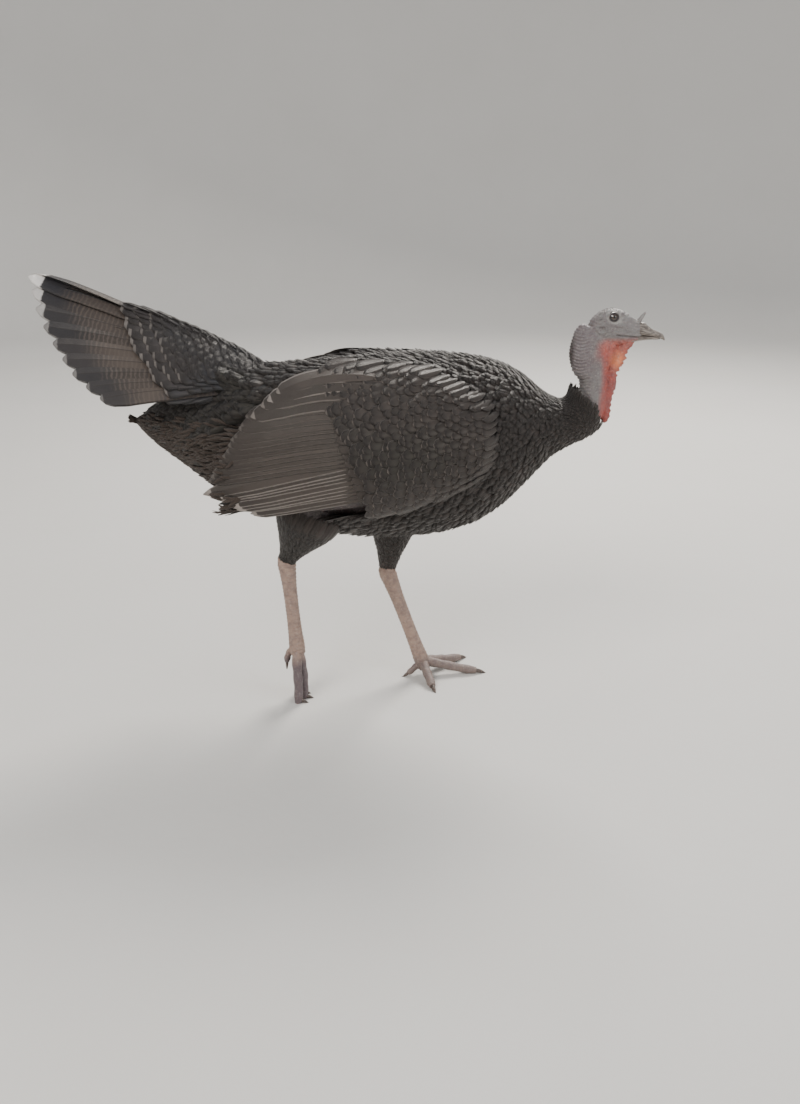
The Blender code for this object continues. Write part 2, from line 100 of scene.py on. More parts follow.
def add_node(tree, kind, feeds=(), out=0, **settings):
    """Adds a shader node, sets or links its inputs by place or name, and gives one of its outputs."""
    node = tree.nodes.new(f"ShaderNode{kind}")
    for key, value in settings.items():
        setattr(node, key, value)
    for place, value in feeds.items() if isinstance(feeds, dict) else enumerate(feeds):
        if isinstance(value, bpy.types.NodeSocket):
            tree.links.new(value, node.inputs[place])
        else:
            node.inputs[place].default_value = value
    return node.outputs[out]


def mix_colours(tree, share, first, second):
    """The second colour over the first by a share from 0 to 1."""
    first, second = ((*c, 1.0) if isinstance(c, tuple) else c for c in (first, second))
    return add_node(tree, "Mix", {0: share, 6: first, 7: second}, out=2, data_type="RGBA")


def ease(tree, value, low, high):
    """0 below low, 1 above high and a smooth rise between; turned round where low is over high."""
    return add_node(
        tree, "MapRange", {0: value, 1: low, 2: high, 3: 0.0, 4: 1.0}, interpolation_type="SMOOTHSTEP"
    )


def calc(tree, operation, *values):
    """One sum of a Math node, such as the first value times the second plus the third."""
    return add_node(tree, "Math", values, operation=operation)


def noise(tree, scale, detail=3.0, roughness=0.5, where=None, spread=0.0):
    """Cloudy values about 0.5, in the piece's own metres unless another place is given."""
    where = where or add_node(tree, "TexCoord", out="Object")
    feeds = {"Vector": where, "Scale": scale, "Detail": detail, "Roughness": roughness, "Distortion": spread}
    return add_node(tree, "TexNoise", feeds)


def finish(name, colour, roughness, bumps=(), **sockets):
    """A material from colour and roughness made by functions of its node tree, bumps as (height,
    metres) pairs made the same way, and plain numbers for the shader's other sockets."""
    material = bpy.data.materials.new(name)
    material.use_nodes = True
    tree = material.node_tree
    shader = tree.nodes["Principled BSDF"]
    tree.links.new(colour(tree), shader.inputs["Base Color"])
    tree.links.new(roughness(tree), shader.inputs["Roughness"])
    normal = None
    for height, depth in bumps:
        feeds = {"Height": height(tree), "Distance": depth, "Strength": 1.0}
        if normal:
            feeds["Normal"] = normal
        normal = add_node(tree, "Bump", feeds)
    if normal:
        tree.links.new(normal, shader.inputs["Normal"])
    for socket, value in sockets.items():
        shader.inputs[socket.replace("_", " ")].default_value = value
    return material


def pale_floor():
    """Pale matt plaster with a faint cloudiness."""
    return finish(
        "pale_floor",
        lambda t: mix_colours(t, noise(t, 3.0), (0.66, 0.64, 0.61), (0.70, 0.685, 0.66)),
        lambda t: calc(t, "MULTIPLY_ADD", noise(t, 9.0), 0.1, 0.7),
        [(lambda t: noise(t, 60.0), 0.0006)],
    )


def add_lamp(name, place, size, watts, colour):
    """A round soft lamp, turned so that it looks from its place to the bird's middle."""
    lamp = bpy.data.lights.new(name, "AREA")
    lamp.shape = "DISK"
    lamp.size = size
    lamp.energy = watts
    lamp.color = colour
    holder = bpy.data.objects.new(name, lamp)
    holder.location = place
    direction = np.array(place) - np.array(BIRD_MIDDLE)
    reach = np.hypot(direction[0], direction[1])
    holder.rotation_euler = (np.arctan2(reach, direction[2]), 0, np.arctan2(direction[0], -direction[1]))
    bpy.context.scene.collection.objects.link(holder)


floor = make_floor()
floor.data.materials.append(pale_floor())
for lamp in LAMPS:
    add_lamp(*lamp)
world = bpy.data.worlds.new("studio_air")
world.use_nodes = True
air = world.node_tree.nodes["Background"].inputs
air["Color"].default_value = AIR_COLOUR
air["Strength"].default_value = AIR_STRENGTH
bpy.context.scene.world = world
camera_data = bpy.data.cameras.new("camera")
camera_data.lens = CAMERA_LENS
camera = bpy.data.objects.new("camera", camera_data)
camera.location = CAMERA_PLACE
camera.rotation_euler = (CAMERA_TILT, 0, 0)
bpy.context.scene.collection.objects.link(camera)
bpy.context.scene.camera = camera

# Skin: one soft hide over the whole bird. It is thin and hidden under the plumage, and it shows as the
# wrinkled grey head, the red dewlap and throat, the horn over the bill and the scaled legs.
BODY = "root"
SIDES = {"left": 1.0, "right": -1.0}  # a side's name and the sign of its y
BODY_SECTIONS = (  # x and z of the widest point, tilt in degrees, reach above, below and to each side
    (-0.276, 0.388, 0, 0.010, 0.010, 0.010),
    (-0.255, 0.388, 0, 0.026, 0.030, 0.030),
    (-0.225, 0.388, 0, 0.043, 0.054, 0.046),
    (-0.185, 0.386, 0, 0.062, 0.084, 0.062),
    (-0.135, 0.380, 0, 0.082, 0.110, 0.078),
    (-0.080, 0.374, 0, 0.093, 0.126, 0.091),
    (-0.020, 0.368, 0, 0.104, 0.135, 0.101),
    (0.040, 0.366, 0, 0.112, 0.138, 0.105),
    (0.100, 0.366, 0, 0.114, 0.134, 0.104),
    (0.155, 0.370, 0, 0.106, 0.125, 0.096),
    (0.200, 0.376, 0, 0.089, 0.104, 0.082),
    (0.232, 0.381, 2, 0.067, 0.075, 0.063),
    (0.262, 0.384, 8, 0.042, 0.043, 0.042),
    (0.285, 0.388, 20, 0.031, 0.033, 0.032),
    (0.303, 0.398, 44, 0.025, 0.027, 0.026),
    (0.313, 0.415, 70, 0.0205, 0.0220, 0.0205),
    (0.317, 0.438, 91, 0.0180, 0.0175, 0.0180),
    (0.314, 0.457, 97, 0.0255, 0.0215, 0.0180),
    (0.313, 0.477, 92, 0.0295, 0.0300, 0.0185),
    (0.315, 0.495, 80, 0.0275, 0.0280, 0.0180),
    (0.314, 0.508, 70, 0.0175, 0.0180, 0.0120),
)
HEAD_SECTIONS = (  # x, z, reach above, below and to each side
    (0.3075, 0.5090, 0.0040, 0.0050, 0.0060),
    (0.3100, 0.5090, 0.0100, 0.0130, 0.0112),
    (0.3160, 0.5090, 0.0162, 0.0190, 0.0152),
    (0.3240, 0.5085, 0.0215, 0.0212, 0.0174),
    (0.3350, 0.5085, 0.0242, 0.0208, 0.0180),
    (0.3460, 0.5085, 0.0228, 0.0200, 0.0166),
    (0.3560, 0.5075, 0.0188, 0.0184, 0.0140),
    (0.3640, 0.5065, 0.0142, 0.0156, 0.0114),
    (0.3695, 0.5055, 0.0106, 0.0126, 0.0092),
    (0.3730, 0.5050, 0.0080, 0.0100, 0.0075),
)
HEAD_SQUARENESS = 0.82
DEWLAP_SECTIONS = (  # x of its middle, z, half depth and half thickness
    (0.3570, 0.4905, 0.0100, 0.0050),
    (0.3520, 0.4840, 0.0098, 0.0055),
    (0.3480, 0.4770, 0.0096, 0.0055),
    (0.3450, 0.4680, 0.0106, 0.0055),
    (0.3420, 0.4600, 0.0096, 0.0050),
    (0.3380, 0.4500, 0.0085, 0.0048),
    (0.3380, 0.4350, 0.0085, 0.0045),
    (0.3350, 0.4190, 0.0080, 0.0042),
    (0.3340, 0.4050, 0.0076, 0.0040),
    (0.3350, 0.3960, 0.0066, 0.0036),
    (0.3345, 0.3870, 0.0045, 0.0025),
    (0.3340, 0.3840, 0.0015, 0.0010),
)
HORN_BASE, HORN_TIP, HORN_RADIUS = (0.3692, 0.5150), (0.3786, 0.5290), 0.0031  # over the bill's root
EYE_CENTRE = np.array([0.3350, 0.0106, 0.5232])
EYE_RADIUS = 0.0072
EYE_AXIS = np.array([0.16, 0.98, 0.10])  # where an eye looks, on the left side
LID_OPENING = (0.76, 0.67)  # half width and half height, in eye radii
LID_THICKNESS, SOCKET_INSET = 0.0009, 0.0012  # how far the lids stand over the eye and the socket under it
GAPE_START, GAPE_SLOPE = (0.340, 0.5010), 0.115  # x and z of the mouth's corner, and how its line falls
EAR_PLACE, EAR_SIZE = (0.3205, 0.5085), (0.0036, 0.0030)
WART_PITCH, PIMPLE_PITCH = 0.0046, 0.0021  # of the lumps on throat and dewlap
KNEE = {"left": (0.066, 0.038, 0.312), "right": (-0.044, -0.043, 0.290)}
HOCK = {"left": (0.047, 0.040, 0.160), "right": (-0.086, -0.045, 0.207)}
TOE_JOINT = {"left": (0.098, 0.036, 0.020), "right": (-0.076, -0.040, 0.076)}
DRUMSTICK_SECTIONS = (  # share of the way from knee to hock, half depth fore and aft, half width
    (0.00, 0.055, 0.036),
    (0.25, 0.049, 0.036),
    (0.50, 0.037, 0.030),
    (0.72, 0.0240, 0.0215),
    (0.88, 0.0160, 0.0150),
    (0.94, 0.0132, 0.0120),
)
SHANK_SECTIONS = (  # share of the way from hock to toe joint, radius
    (-0.16, 0.0078),
    (-0.05, 0.0098),
    (0.03, 0.0108),
    (0.12, 0.0098),
    (0.30, 0.0084),
    (0.60, 0.0080),
    (0.82, 0.0086),
    (0.97, 0.0096),
    (1.04, 0.0092),
    (1.08, 0.0066),
)
SHANK_DEPTH_FACTOR = 1.18
FLAT_TOES = {"inner": (-74, 0.050), "middle": (2, 0.079), "outer": (40, 0.074), "back": (-162, 0.022)}
HANGING_TOES = {
    "inner": ((0.0, -0.005, 0.0), (-0.002, -0.013, -0.020), (0.004, -0.014, -0.045), (0.001, -0.014, -0.077)),
    "middle": ((0.001, 0.0, 0.0), (0.005, 0.0, -0.020), (0.010, 0.0, -0.045), (0.006, 0.0, -0.077)),
    "outer": ((0.0, 0.005, 0.0), (-0.002, 0.013, -0.020), (0.003, 0.014, -0.045), (0.0, 0.014, -0.077)),
    "back": ((0.0, -0.002, 0.002), (-0.008, -0.004, 0.0), (-0.015, -0.008, -0.010), (-0.016, -0.010, -0.024)),
}
TOE_RADII = (0.0038, 0.0066, 0.0072, 0.0062, 0.0069, 0.0060, 0.0066, 0.0048)
TOE_FLOOR_HEIGHT = 0.0043
BACK_TOE_SCALE = 0.72
SCUTE_PITCH = 0.0056  # of the plates down a shank
TOE_SCUTE_PITCH = 0.0031
# Depth of the coat over the skin, by the place along BODY_SECTIONS, counted in rows.
COAT_PLACES = (0.0, 2.0, 5.0, 8.0, 10.0, 11.5, 12.5, 13.5, 15.0, 16.0)
COAT_DEPTHS = (0.004, 0.010, 0.011, 0.010, 0.009, 0.0075, 0.0055, 0.0040, 0.0022, 0.0018)
HAIRLINE_PLACE, HAIRLINE_SLANT = 15.1, 0.75  # where the neck's feathers end: further up at the nape
WING_FLESH_INSET = 0.010
HEAD_VOXEL = 0.00116
FINE_HEAD_BOX = ((0.317, 0.484), (0.400, 0.540))  # x and z of the part of the head with the finest folds


def smooth_rows(rows, places):
    """Rows of numbers read at fractional places between them, along monotone cubics."""
    table = np.array(rows, float)
    step = np.diff(table, axis=0)
    slope = np.zeros_like(table)
    before, after = step[:-1], step[1:]
    same_way = before * after > 0
    total = np.where(same_way, before + after, 1.0)
    slope[1:-1] = np.where(same_way, 2 * before * after / total, 0.0)
    slope[0], slope[-1] = step[0], step[-1]
    places = np.clip(np.asarray(places, float), 0, len(table) - 1)
    low = np.minimum(places.astype(int), len(table) - 2)
    t = (places - low)[..., None]
    return (
        table[low] * (1 + 2 * t) * (1 - t) ** 2
        + slope[low] * t * (1 - t) ** 2
        + table[low + 1] * t**2 * (3 - 2 * t)
        + slope[low + 1] * t**2 * (t - 1)
    )


def unit(vectors):
    """Vectors divided by their lengths."""
    return vectors / np.maximum(np.linalg.norm(vectors, axis=-1, keepdims=True), 1e-12)


def smooth_step(value, low, high):
    """0 below low, 1 above high and between them three times the share squared less twice its cube."""
    share = np.clip((value - low) / (high - low), 0, 1)
    return share * share * (3 - 2 * share)


def bell(distance, width):
    """1 at no distance, falling as e to the power of less the square of distance over width."""
    return np.exp(-((distance / width) ** 2))


def closed_tube(rings):
    """Points and faces of a body through rings: each end closes on a point in its middle."""
    rings = np.asarray(rings, float)
    count, sides = rings.shape[:2]
    index = np.arange(count * sides).reshape(count, sides)
    quads = grid_faces(count, sides)
    first = np.stack([np.full(sides, count * sides), np.roll(index[0], -1), index[0]], axis=-1)
    last = np.stack([np.full(sides, count * sides + 1), index[-1], np.roll(index[-1], -1)], axis=-1)
    points = np.concatenate([rings.reshape(-1, 3), rings[[0, -1]].mean(axis=1)])
    corners = np.concatenate([quads[:, [0, 1, 2]], quads[:, [0, 2, 3]], first, last])
    a, b, c = points[corners].transpose(1, 0, 2)
    if np.einsum("ij,ij->i", a, np.cross(b, c)).sum() < 0:
        return points, quads[:, ::-1], np.concatenate([first, last])[:, ::-1]
    return points, quads, np.concatenate([first, last])


def join_bodies(*bodies):
    """Points and faces of several closed bodies, as one."""
    points, quads, triangles, start = [], [], [], 0
    for body_points, body_quads, body_triangles in bodies:
        points.append(body_points)
        quads.append(body_quads + start)
        triangles.append(body_triangles + start)
        start += len(body_points)
    return np.concatenate(points), np.concatenate(quads), np.concatenate(triangles)


def hairline(angle):
    """The place along the neck where the feathers end, at an angle round it from the left side."""
    return HAIRLINE_PLACE + HAIRLINE_SLANT * np.sin(angle)


def body_frame(place, angle):
    """Middle, outward direction and reach of the plumage, at a place along the body and an angle from
    the left side round over the back: an oval with its own height above and below, across +Y."""
    row = smooth_rows(BODY_SECTIONS, place)
    x, z, tilt, above, below, side = np.moveaxis(row, -1, 0)
    tilt = np.radians(tilt)
    zero = np.zeros_like(x)
    middle = np.stack([x, zero, z], axis=-1)
    up = np.stack([-np.sin(tilt), zero, np.cos(tilt)], axis=-1)
    across, rise = side * np.cos(angle), np.where(np.sin(angle) > 0, above, below) * np.sin(angle)
    ray = up * rise[..., None] + across[..., None] * (0, 1, 0)
    reach = np.linalg.norm(ray, axis=-1)
    return middle, ray / reach[..., None], reach


def skin_rings(places, sides):
    """Rings of the body's skin: the plumage's outline less the coat, or the outline itself where bare."""
    place, angle = np.meshgrid(places, np.arange(sides) * 2 * np.pi / sides, indexing="ij")
    middle, ray, reach = body_frame(place, angle)
    bare = smooth_step(place - hairline(angle), -0.25, 0.10)
    inset = np.minimum(np.interp(place, COAT_PLACES, COAT_DEPTHS), reach * 0.5) * (1 - bare)
    return middle + ray * (reach - inset)[..., None]


def head_rings(sections, ring_count, sides, squareness):
    """Upright egg-shaped rings along X: the cosine and sine of the angle to the power of squareness, which
    fills out the corners under 1, times the reach to the side and above or below."""
    rows = smooth_rows(sections, np.linspace(0, len(sections) - 1, ring_count))
    angle = np.arange(sides) * 2 * np.pi / sides
    across = np.sign(np.cos(angle)) * np.abs(np.cos(angle)) ** squareness
    up = np.sign(np.sin(angle)) * np.abs(np.sin(angle)) ** squareness
    x, z, above, below, side = (column[:, None] for column in rows.T)
    y, rise = side * across, np.where(up > 0, above, below) * up
    return np.stack([np.broadcast_to(x, y.shape), y, z + rise], axis=-1)


def limb_rings(path, widths, sides, depths=None):
    """Rings across a path in space, as path + side * width * cosine + up * depth * sine. Depth lies in
    the path's upright plane and width across it, each given for a ring or for every point."""
    depths = widths if depths is None else depths
    path = np.asarray(path, float)
    along = unit(np.gradient(path, axis=0))
    chord = path[-1] - path[0]
    heading = chord * (1, 1, 0) if np.hypot(*chord[:2]) > abs(chord[2]) / 3 else np.array([1.0, 0, 0])
    across = np.cross((0, 0, 1), unit(heading))
    side = unit(across - along * (along @ across)[:, None])
    up = np.cross(along, side)
    angle = (np.arange(sides) + 0.5) * 2 * np.pi / sides
    widths, depths = (np.reshape(size, (len(path), -1)) for size in (widths, depths))
    return (
        path[:, None]
        + side[:, None] * (widths * np.cos(angle))[..., None]
        + up[:, None] * (depths * np.sin(angle))[..., None]
    )


def bezier(points, places):
    """A cubic curve from the first of four points to the last, pulled towards the two between: the sum of
    the points, each times its cubic share of t and 1 - t."""
    a, b, c, d = np.array(points, float)
    t = np.asarray(places, float)[:, None]
    return a * (1 - t) ** 3 + 3 * b * t * (1 - t) ** 2 + 3 * c * t**2 * (1 - t) + d * t**3


def head_and_neck():
    """One body of bare neck, head, dewlap and horn, melted together on a fine lattice."""
    neck = closed_tube(skin_rings(np.linspace(13.4, 20.0, 110), 64))
    head = closed_tube(head_rings(HEAD_SECTIONS, 50, 64, HEAD_SQUARENESS))
    rows = smooth_rows(DEWLAP_SECTIONS, np.linspace(0, len(DEWLAP_SECTIONS) - 1, 60))
    angle = np.arange(32) * 2 * np.pi / 32
    x, z, depth, half = (column[:, None] for column in rows.T)
    lump = 1 + 0.16 * np.sin(z * 820 + 1.3 * np.sin(angle)) * np.cos(angle) ** 2
    front, side = x + depth * lump * np.cos(angle), half * np.sin(angle) * lump
    dewlap = closed_tube(np.stack([front, side, z + 0 * angle], axis=-1))
    base, tip = np.array(HORN_BASE), np.array(HORN_TIP)
    shares = np.linspace(-0.5, 1.0, 24)
    flat = base + (tip - base) * shares[:, None]
    path = np.stack([flat[:, 0], 0 * shares, flat[:, 1]], axis=1)
    wide = np.interp(shares, (-0.5, 0.0, 0.35, 0.7, 0.92, 1.0), (1.3, 1.15, 0.9, 0.7, 0.45, 0.12))
    folds = 1 + 0.09 * np.sin(shares * 40)
    horn = closed_tube(limb_rings(path, HORN_RADIUS * wide * folds, 20))
    made = make_mesh("head_and_neck", *join_bodies(neck, head, dewlap, horn))
    melt = made.modifiers.new("melt", "REMESH")
    melt.mode, melt.voxel_size, melt.use_smooth_shade = "VOXEL", HEAD_VOXEL, True
    soften = made.modifiers.new("soften", "SMOOTH")
    soften.factor, soften.iterations = 0.5, 4
    return apply_modifiers(made)


def apply_modifiers(obj):
    """Gives a piece the mesh that its modifiers make, and takes them off."""
    graph = bpy.context.evaluated_depsgraph_get()
    mesh = bpy.data.meshes.new_from_object(obj.evaluated_get(graph), depsgraph=graph)
    obj.modifiers.clear()
    obj.data = mesh
    return obj


def points_of(mesh, what="co"):
    """A mesh's points, or their normals, as an (n, 3) array."""
    values = np.empty(len(mesh.vertices) * 3, np.float32)
    mesh.vertices.foreach_get(what, values)
    return values.reshape(-1, 3).astype(float)


def finer(obj, near):
    """Splits in four the faces whose corners all pass near, a test on arrays of points."""
    work = bmesh.new()
    work.from_mesh(obj.data)
    work.edges.ensure_lookup_table()
    ends = np.empty(len(obj.data.edges) * 2, np.int32)
    obj.data.edges.foreach_get("vertices", ends)
    chosen = np.flatnonzero(near(points_of(obj.data))[ends.reshape(-1, 2)].all(axis=1))
    edges = [work.edges[i] for i in chosen]
    bmesh.ops.subdivide_edges(work, edges=edges, cuts=1, use_grid_fill=True, smooth=0.0)
    work.to_mesh(obj.data)
    work.free()


def cells(points, pitch):
    """Distance to the nearest of points jittered on a lattice of the given pitch, in pitches."""
    at = points / pitch
    home = np.floor(at)
    nearest = np.full(len(at), 9.0)
    for step in np.ndindex(3, 3, 3):
        cell = home + np.array(step) - 1
        seed = cell @ np.array([127.1, 311.7, 74.7])
        jitter = np.stack([np.modf(np.abs(np.sin(seed + k) * 43758.5))[0] for k in (0.0, 1.7, 5.1)], -1)
        nearest = np.minimum(nearest, np.linalg.norm(cell + jitter - at, axis=1))
    return nearest


def eye_places(points):
    """For each point: its direction and distance from the eye on its side, and where that direction
    falls in the lids' opening, as 0 at the middle and 1 on its edge."""
    side = np.where(points[:, 1] < 0, -1.0, 1.0)[:, None] * (0, 1, 0) + (1, 0, 1)
    off = (points - EYE_CENTRE * side) * side
    distance = np.linalg.norm(off, axis=1)
    ray = off / np.maximum(distance, 1e-9)[:, None]
    axis = unit(EYE_AXIS)
    ahead = unit(np.cross(axis, (0, 0, 1.0)))
    over = np.cross(ahead, axis)
    opening = np.hypot(ray @ ahead / LID_OPENING[0], ray @ over / LID_OPENING[1])
    return off, distance, np.where(ray @ axis > 0.1, opening, 9.0), side


def shape_head(obj):
    """Presses the warts, neck folds, gape, ear, lids and eye sockets into the smooth head. Each is a rise or
    fall along the surface's normal, as a height times a bell of the distance from its line, and the lids
    and sockets are a distance from the eye's middle."""
    points, normals = points_of(obj.data), points_of(obj.data, "normal")
    x, y, z = points.T
    bare = smooth_step(z, 0.415, 0.445)
    throat = redness(points)
    warts = np.clip(0.62 - cells(points, WART_PITCH), 0, 1)
    pimples = np.clip(0.6 - cells(points, PIMPLE_PITCH), 0, 1)
    rise = throat * bare * (0.0030 * warts + 0.0006 * pimples)
    nape = smooth_step(0.318 - x, 0, 0.02) * bare
    rise += (1 - throat) * 0.00045 * np.sin(z * 1500 + 2.2 * np.sin(x * 260) + y * 120) * (0.35 + nape)
    rise += (1 - throat) * bare * 0.0009 * pimples * smooth_step(0.330 - x, 0, 0.02)
    over_gape = z - (GAPE_START[1] - (x - GAPE_START[0]) * GAPE_SLOPE)
    in_gape = smooth_step(x, 0.337, 0.343) * smooth_step(0.377 - x, 0, 0.003)
    rise -= 0.0016 * in_gape * bell(over_gape, 0.0008)
    rise += 0.0009 * in_gape * bell(over_gape + 0.0026, 0.0014)
    rise += 0.0010 * in_gape * bell(over_gape - 0.0024, 0.0013)
    ear = np.hypot((x - EAR_PLACE[0]) / EAR_SIZE[0], (z - EAR_PLACE[1]) / EAR_SIZE[1])
    on_cheek = np.abs(y) > 0.006
    rise -= 0.0018 * bell(ear, 1.0) * on_cheek
    rise += 0.0007 * bell(ear - 1.5, 0.35) * on_cheek
    from_eye = eye_places(points)[1]
    rise += 0.0004 * bell(from_eye - 0.0100, 0.0007)
    rise -= 0.0004 * bell(from_eye - 0.0114, 0.0006)
    points = points + normals * rise[:, None]
    off, distance, opening, side = eye_places(points)
    near = distance < EYE_RADIUS * 1.9
    lid = EYE_RADIUS + LID_THICKNESS - 0.0010 * np.clip(opening - 1.12, 0, 1)
    socket = EYE_RADIUS - SOCKET_INSET
    target = socket + (lid - socket) * smooth_step(opening, 0.95, 1.03)
    hold = near * smooth_step(1.30 - opening, 0, 0.14)
    wanted = distance + (target - distance) * hold - 0.0005 * bell(opening - 1.27, 0.05) * near
    points = side * (off * (wanted / distance)[:, None]) + EYE_CENTRE * side
    obj.data.vertices.foreach_set("co", points.astype(np.float32).ravel())
    obj.data.update()


def redness(points):
    """Share of red: the throat below the gape, the dewlap and the front of the neck."""
    x, y, z = points.T
    throat = smooth_step(x - 0.316 - (z - 0.49) * 0.25, -0.004, 0.014) * smooth_step(0.4995 - z, 0, 0.012)
    strip_edge = np.interp(z, (0.38, 0.44, 0.47, 0.49), (0.318, 0.324, 0.322, 0.322))
    strip = smooth_step(x - strip_edge, -0.003, 0.008)
    return (strip + (throat - strip) * smooth_step(z, 0.462, 0.484)) * smooth_step(z, 0.36, 0.375)


def shank_body(side):
    """The scaled shank: its radius times a saw tooth of the run down the leg, so that plates overlap like
    tiles, in six columns set half a plate apart with a groove between."""
    knee, hock, joint = (np.array(place[side]) for place in (KNEE, HOCK, TOE_JOINT))
    share, radii = np.array(SHANK_SECTIONS).T
    shares = np.linspace(share[0], share[-1], 210)
    below, above = hock + (joint - hock) * shares[:, None], hock + (hock - knee) * shares[:, None]
    bend = smooth_step(shares[:, None], -0.035, 0.035)
    path = above + (below - above) * bend
    smooth = smooth_rows(radii[:, None], np.interp(shares, share, np.arange(len(share))))[:, 0]
    angle = (np.arange(48) + 0.5) * 2 * np.pi / 48
    column = angle / (2 * np.pi) * 6
    run = shares[:, None] * np.linalg.norm(joint - hock) / SCUTE_PITCH + 0.5 * (np.floor(column) % 2)
    tile = (run % 1.0) ** 1.5
    seam = np.exp(-(((column % 1.0 - 0.5) / 0.5) ** 2 - 1) ** 2 / 0.02)
    relief = smooth[:, None] * (0.93 + 0.075 * tile) - 0.0003 * seam
    return closed_tube(limb_rings(path, relief, 48, relief * SHANK_DEPTH_FACTOR))


def toe_path(side, toe):
    """Four points of a toe's curve: flat on the floor, or bunched and hanging under the lifted foot."""
    joint = np.array(TOE_JOINT[side])
    if side == "right":
        return joint + np.array(HANGING_TOES[toe]) * (1, SIDES[side], 1)
    heading, length = FLAT_TOES[toe]
    turn = np.radians(heading) * SIDES[side]
    ahead = np.array([np.cos(turn), np.sin(turn), 0.0])
    tip = joint * (1, 1, 0) + ahead * length + (0, 0, TOE_FLOOR_HEIGHT)
    return [joint, joint + ahead * length * 0.25, tip - ahead * length * 0.45 + (0, 0, 0.005), tip]


def toe_body(side, toe):
    """A toe whose pads bulge between its joints, with plates across its top and warts below."""
    rounds = 90
    path = bezier(toe_path(side, toe), np.linspace(0, 1, rounds))
    size = BACK_TOE_SCALE if toe == "back" else 1.0
    smooth = smooth_rows(np.array(TOE_RADII)[:, None], np.linspace(0, len(TOE_RADII) - 1, rounds)) * size
    run = np.cumsum(np.linalg.norm(np.gradient(path, axis=0), axis=1)) / TOE_SCUTE_PITCH
    angle = (np.arange(28) + 0.5) * 2 * np.pi / 28
    top = smooth_step(np.sin(angle), -0.1, 0.4)
    tile = (run[:, None] % 1.0) ** 1.4
    wart = np.sin(run[:, None] * 5.2) * np.sin(angle * 9)
    relief = smooth * (0.95 + 0.06 * tile * top + 0.03 * wart * (1 - top))
    rings = limb_rings(path, relief, 28)
    rings[..., 2] = np.maximum(rings[..., 2], 0.0)
    return closed_tube(rings)


WING_SECTIONS = (  # x, lower edge y and z, upper edge y and z, swell of the middle, thickness
    (0.206, 0.060, 0.372, 0.056, 0.402, 0.004, 0.012),
    (0.190, 0.070, 0.340, 0.058, 0.430, 0.012, 0.030),
    (0.150, 0.080, 0.312, 0.052, 0.460, 0.024, 0.044),
    (0.090, 0.086, 0.289, 0.044, 0.477, 0.031, 0.046),
    (0.020, 0.090, 0.275, 0.038, 0.480, 0.032, 0.044),
    (-0.045, 0.092, 0.270, 0.044, 0.466, 0.028, 0.036),
    (-0.100, 0.094, 0.276, 0.062, 0.436, 0.018, 0.024),
    (-0.145, 0.092, 0.282, 0.076, 0.400, 0.009, 0.017),
    (-0.180, 0.088, 0.282, 0.081, 0.366, 0.004, 0.013),
    (-0.200, 0.084, 0.292, 0.080, 0.334, 0.001, 0.007),
)
WING_ROWS = smooth_rows(WING_SECTIONS, np.linspace(0, len(WING_SECTIONS) - 1, 160))[::-1]


def wing_at(x):
    """The wing's section at x: y and z of its lower and upper edge, its swell and its thickness."""
    return [np.interp(x, WING_ROWS[:, 0], WING_ROWS[:, k]) for k in range(1, 7)]


def wing_side(x, z):
    """How far out the wing's outer face stands at x and z, and the share of the way up its section."""
    low_y, low_z, high_y, high_z, swell, thick = wing_at(x)
    up = (z - low_z) / (high_z - low_z)
    share = np.clip(up, 0, 1)
    bow = 4 * share * (1 - share)
    return low_y + (high_y - low_y) * share + swell * bow + thick / 2 * np.sqrt(bow), up


def wing_flesh(side):
    """The arm under the wing's feathers: the front half of the wing's lens, thinner all round."""
    x = np.linspace(0.192, -0.05, 24)
    low_y, low_z, high_y, high_z, swell, thick = (v[:, None] for v in wing_at(x))
    angle = np.arange(24) * 2 * np.pi / 24
    share = 0.5 + 0.40 * np.cos(angle)
    bow = 4 * share * (1 - share)
    y = low_y + (high_y - low_y) * share + swell * bow - WING_FLESH_INSET
    y = y + np.maximum(thick - 0.012, 0.004) / 2 * np.sin(angle) * np.sqrt(bow)
    z = low_z + (high_z - low_z) * share
    return closed_tube(np.stack([x[:, None] + 0 * y, SIDES[side] * y, z], axis=-1))


def drumstick_body(side):
    """The thigh's flesh: ovals from knee to hock, smaller than the plumage's by the coat."""
    knee, hock = np.array(KNEE[side]), np.array(HOCK[side])
    rows = smooth_rows(DRUMSTICK_SECTIONS, np.linspace(0, 5, 24))
    cover = np.interp(rows[:, 0], (0, 0.8, 0.94), (0.007, 0.0035, 0.0012))
    path = knee + (hock - knee) * rows[:, :1]
    return closed_tube(limb_rings(path, rows[:, 2] - cover, 24, rows[:, 1] - cover))


def add_union(obj, other):
    """Melts another closed piece into this one."""
    union = obj.modifiers.new(other.name, "BOOLEAN")
    union.operation, union.solver, union.object = "UNION", "MANIFOLD", other
    apply_modifiers(obj)
    bpy.data.objects.remove(other)


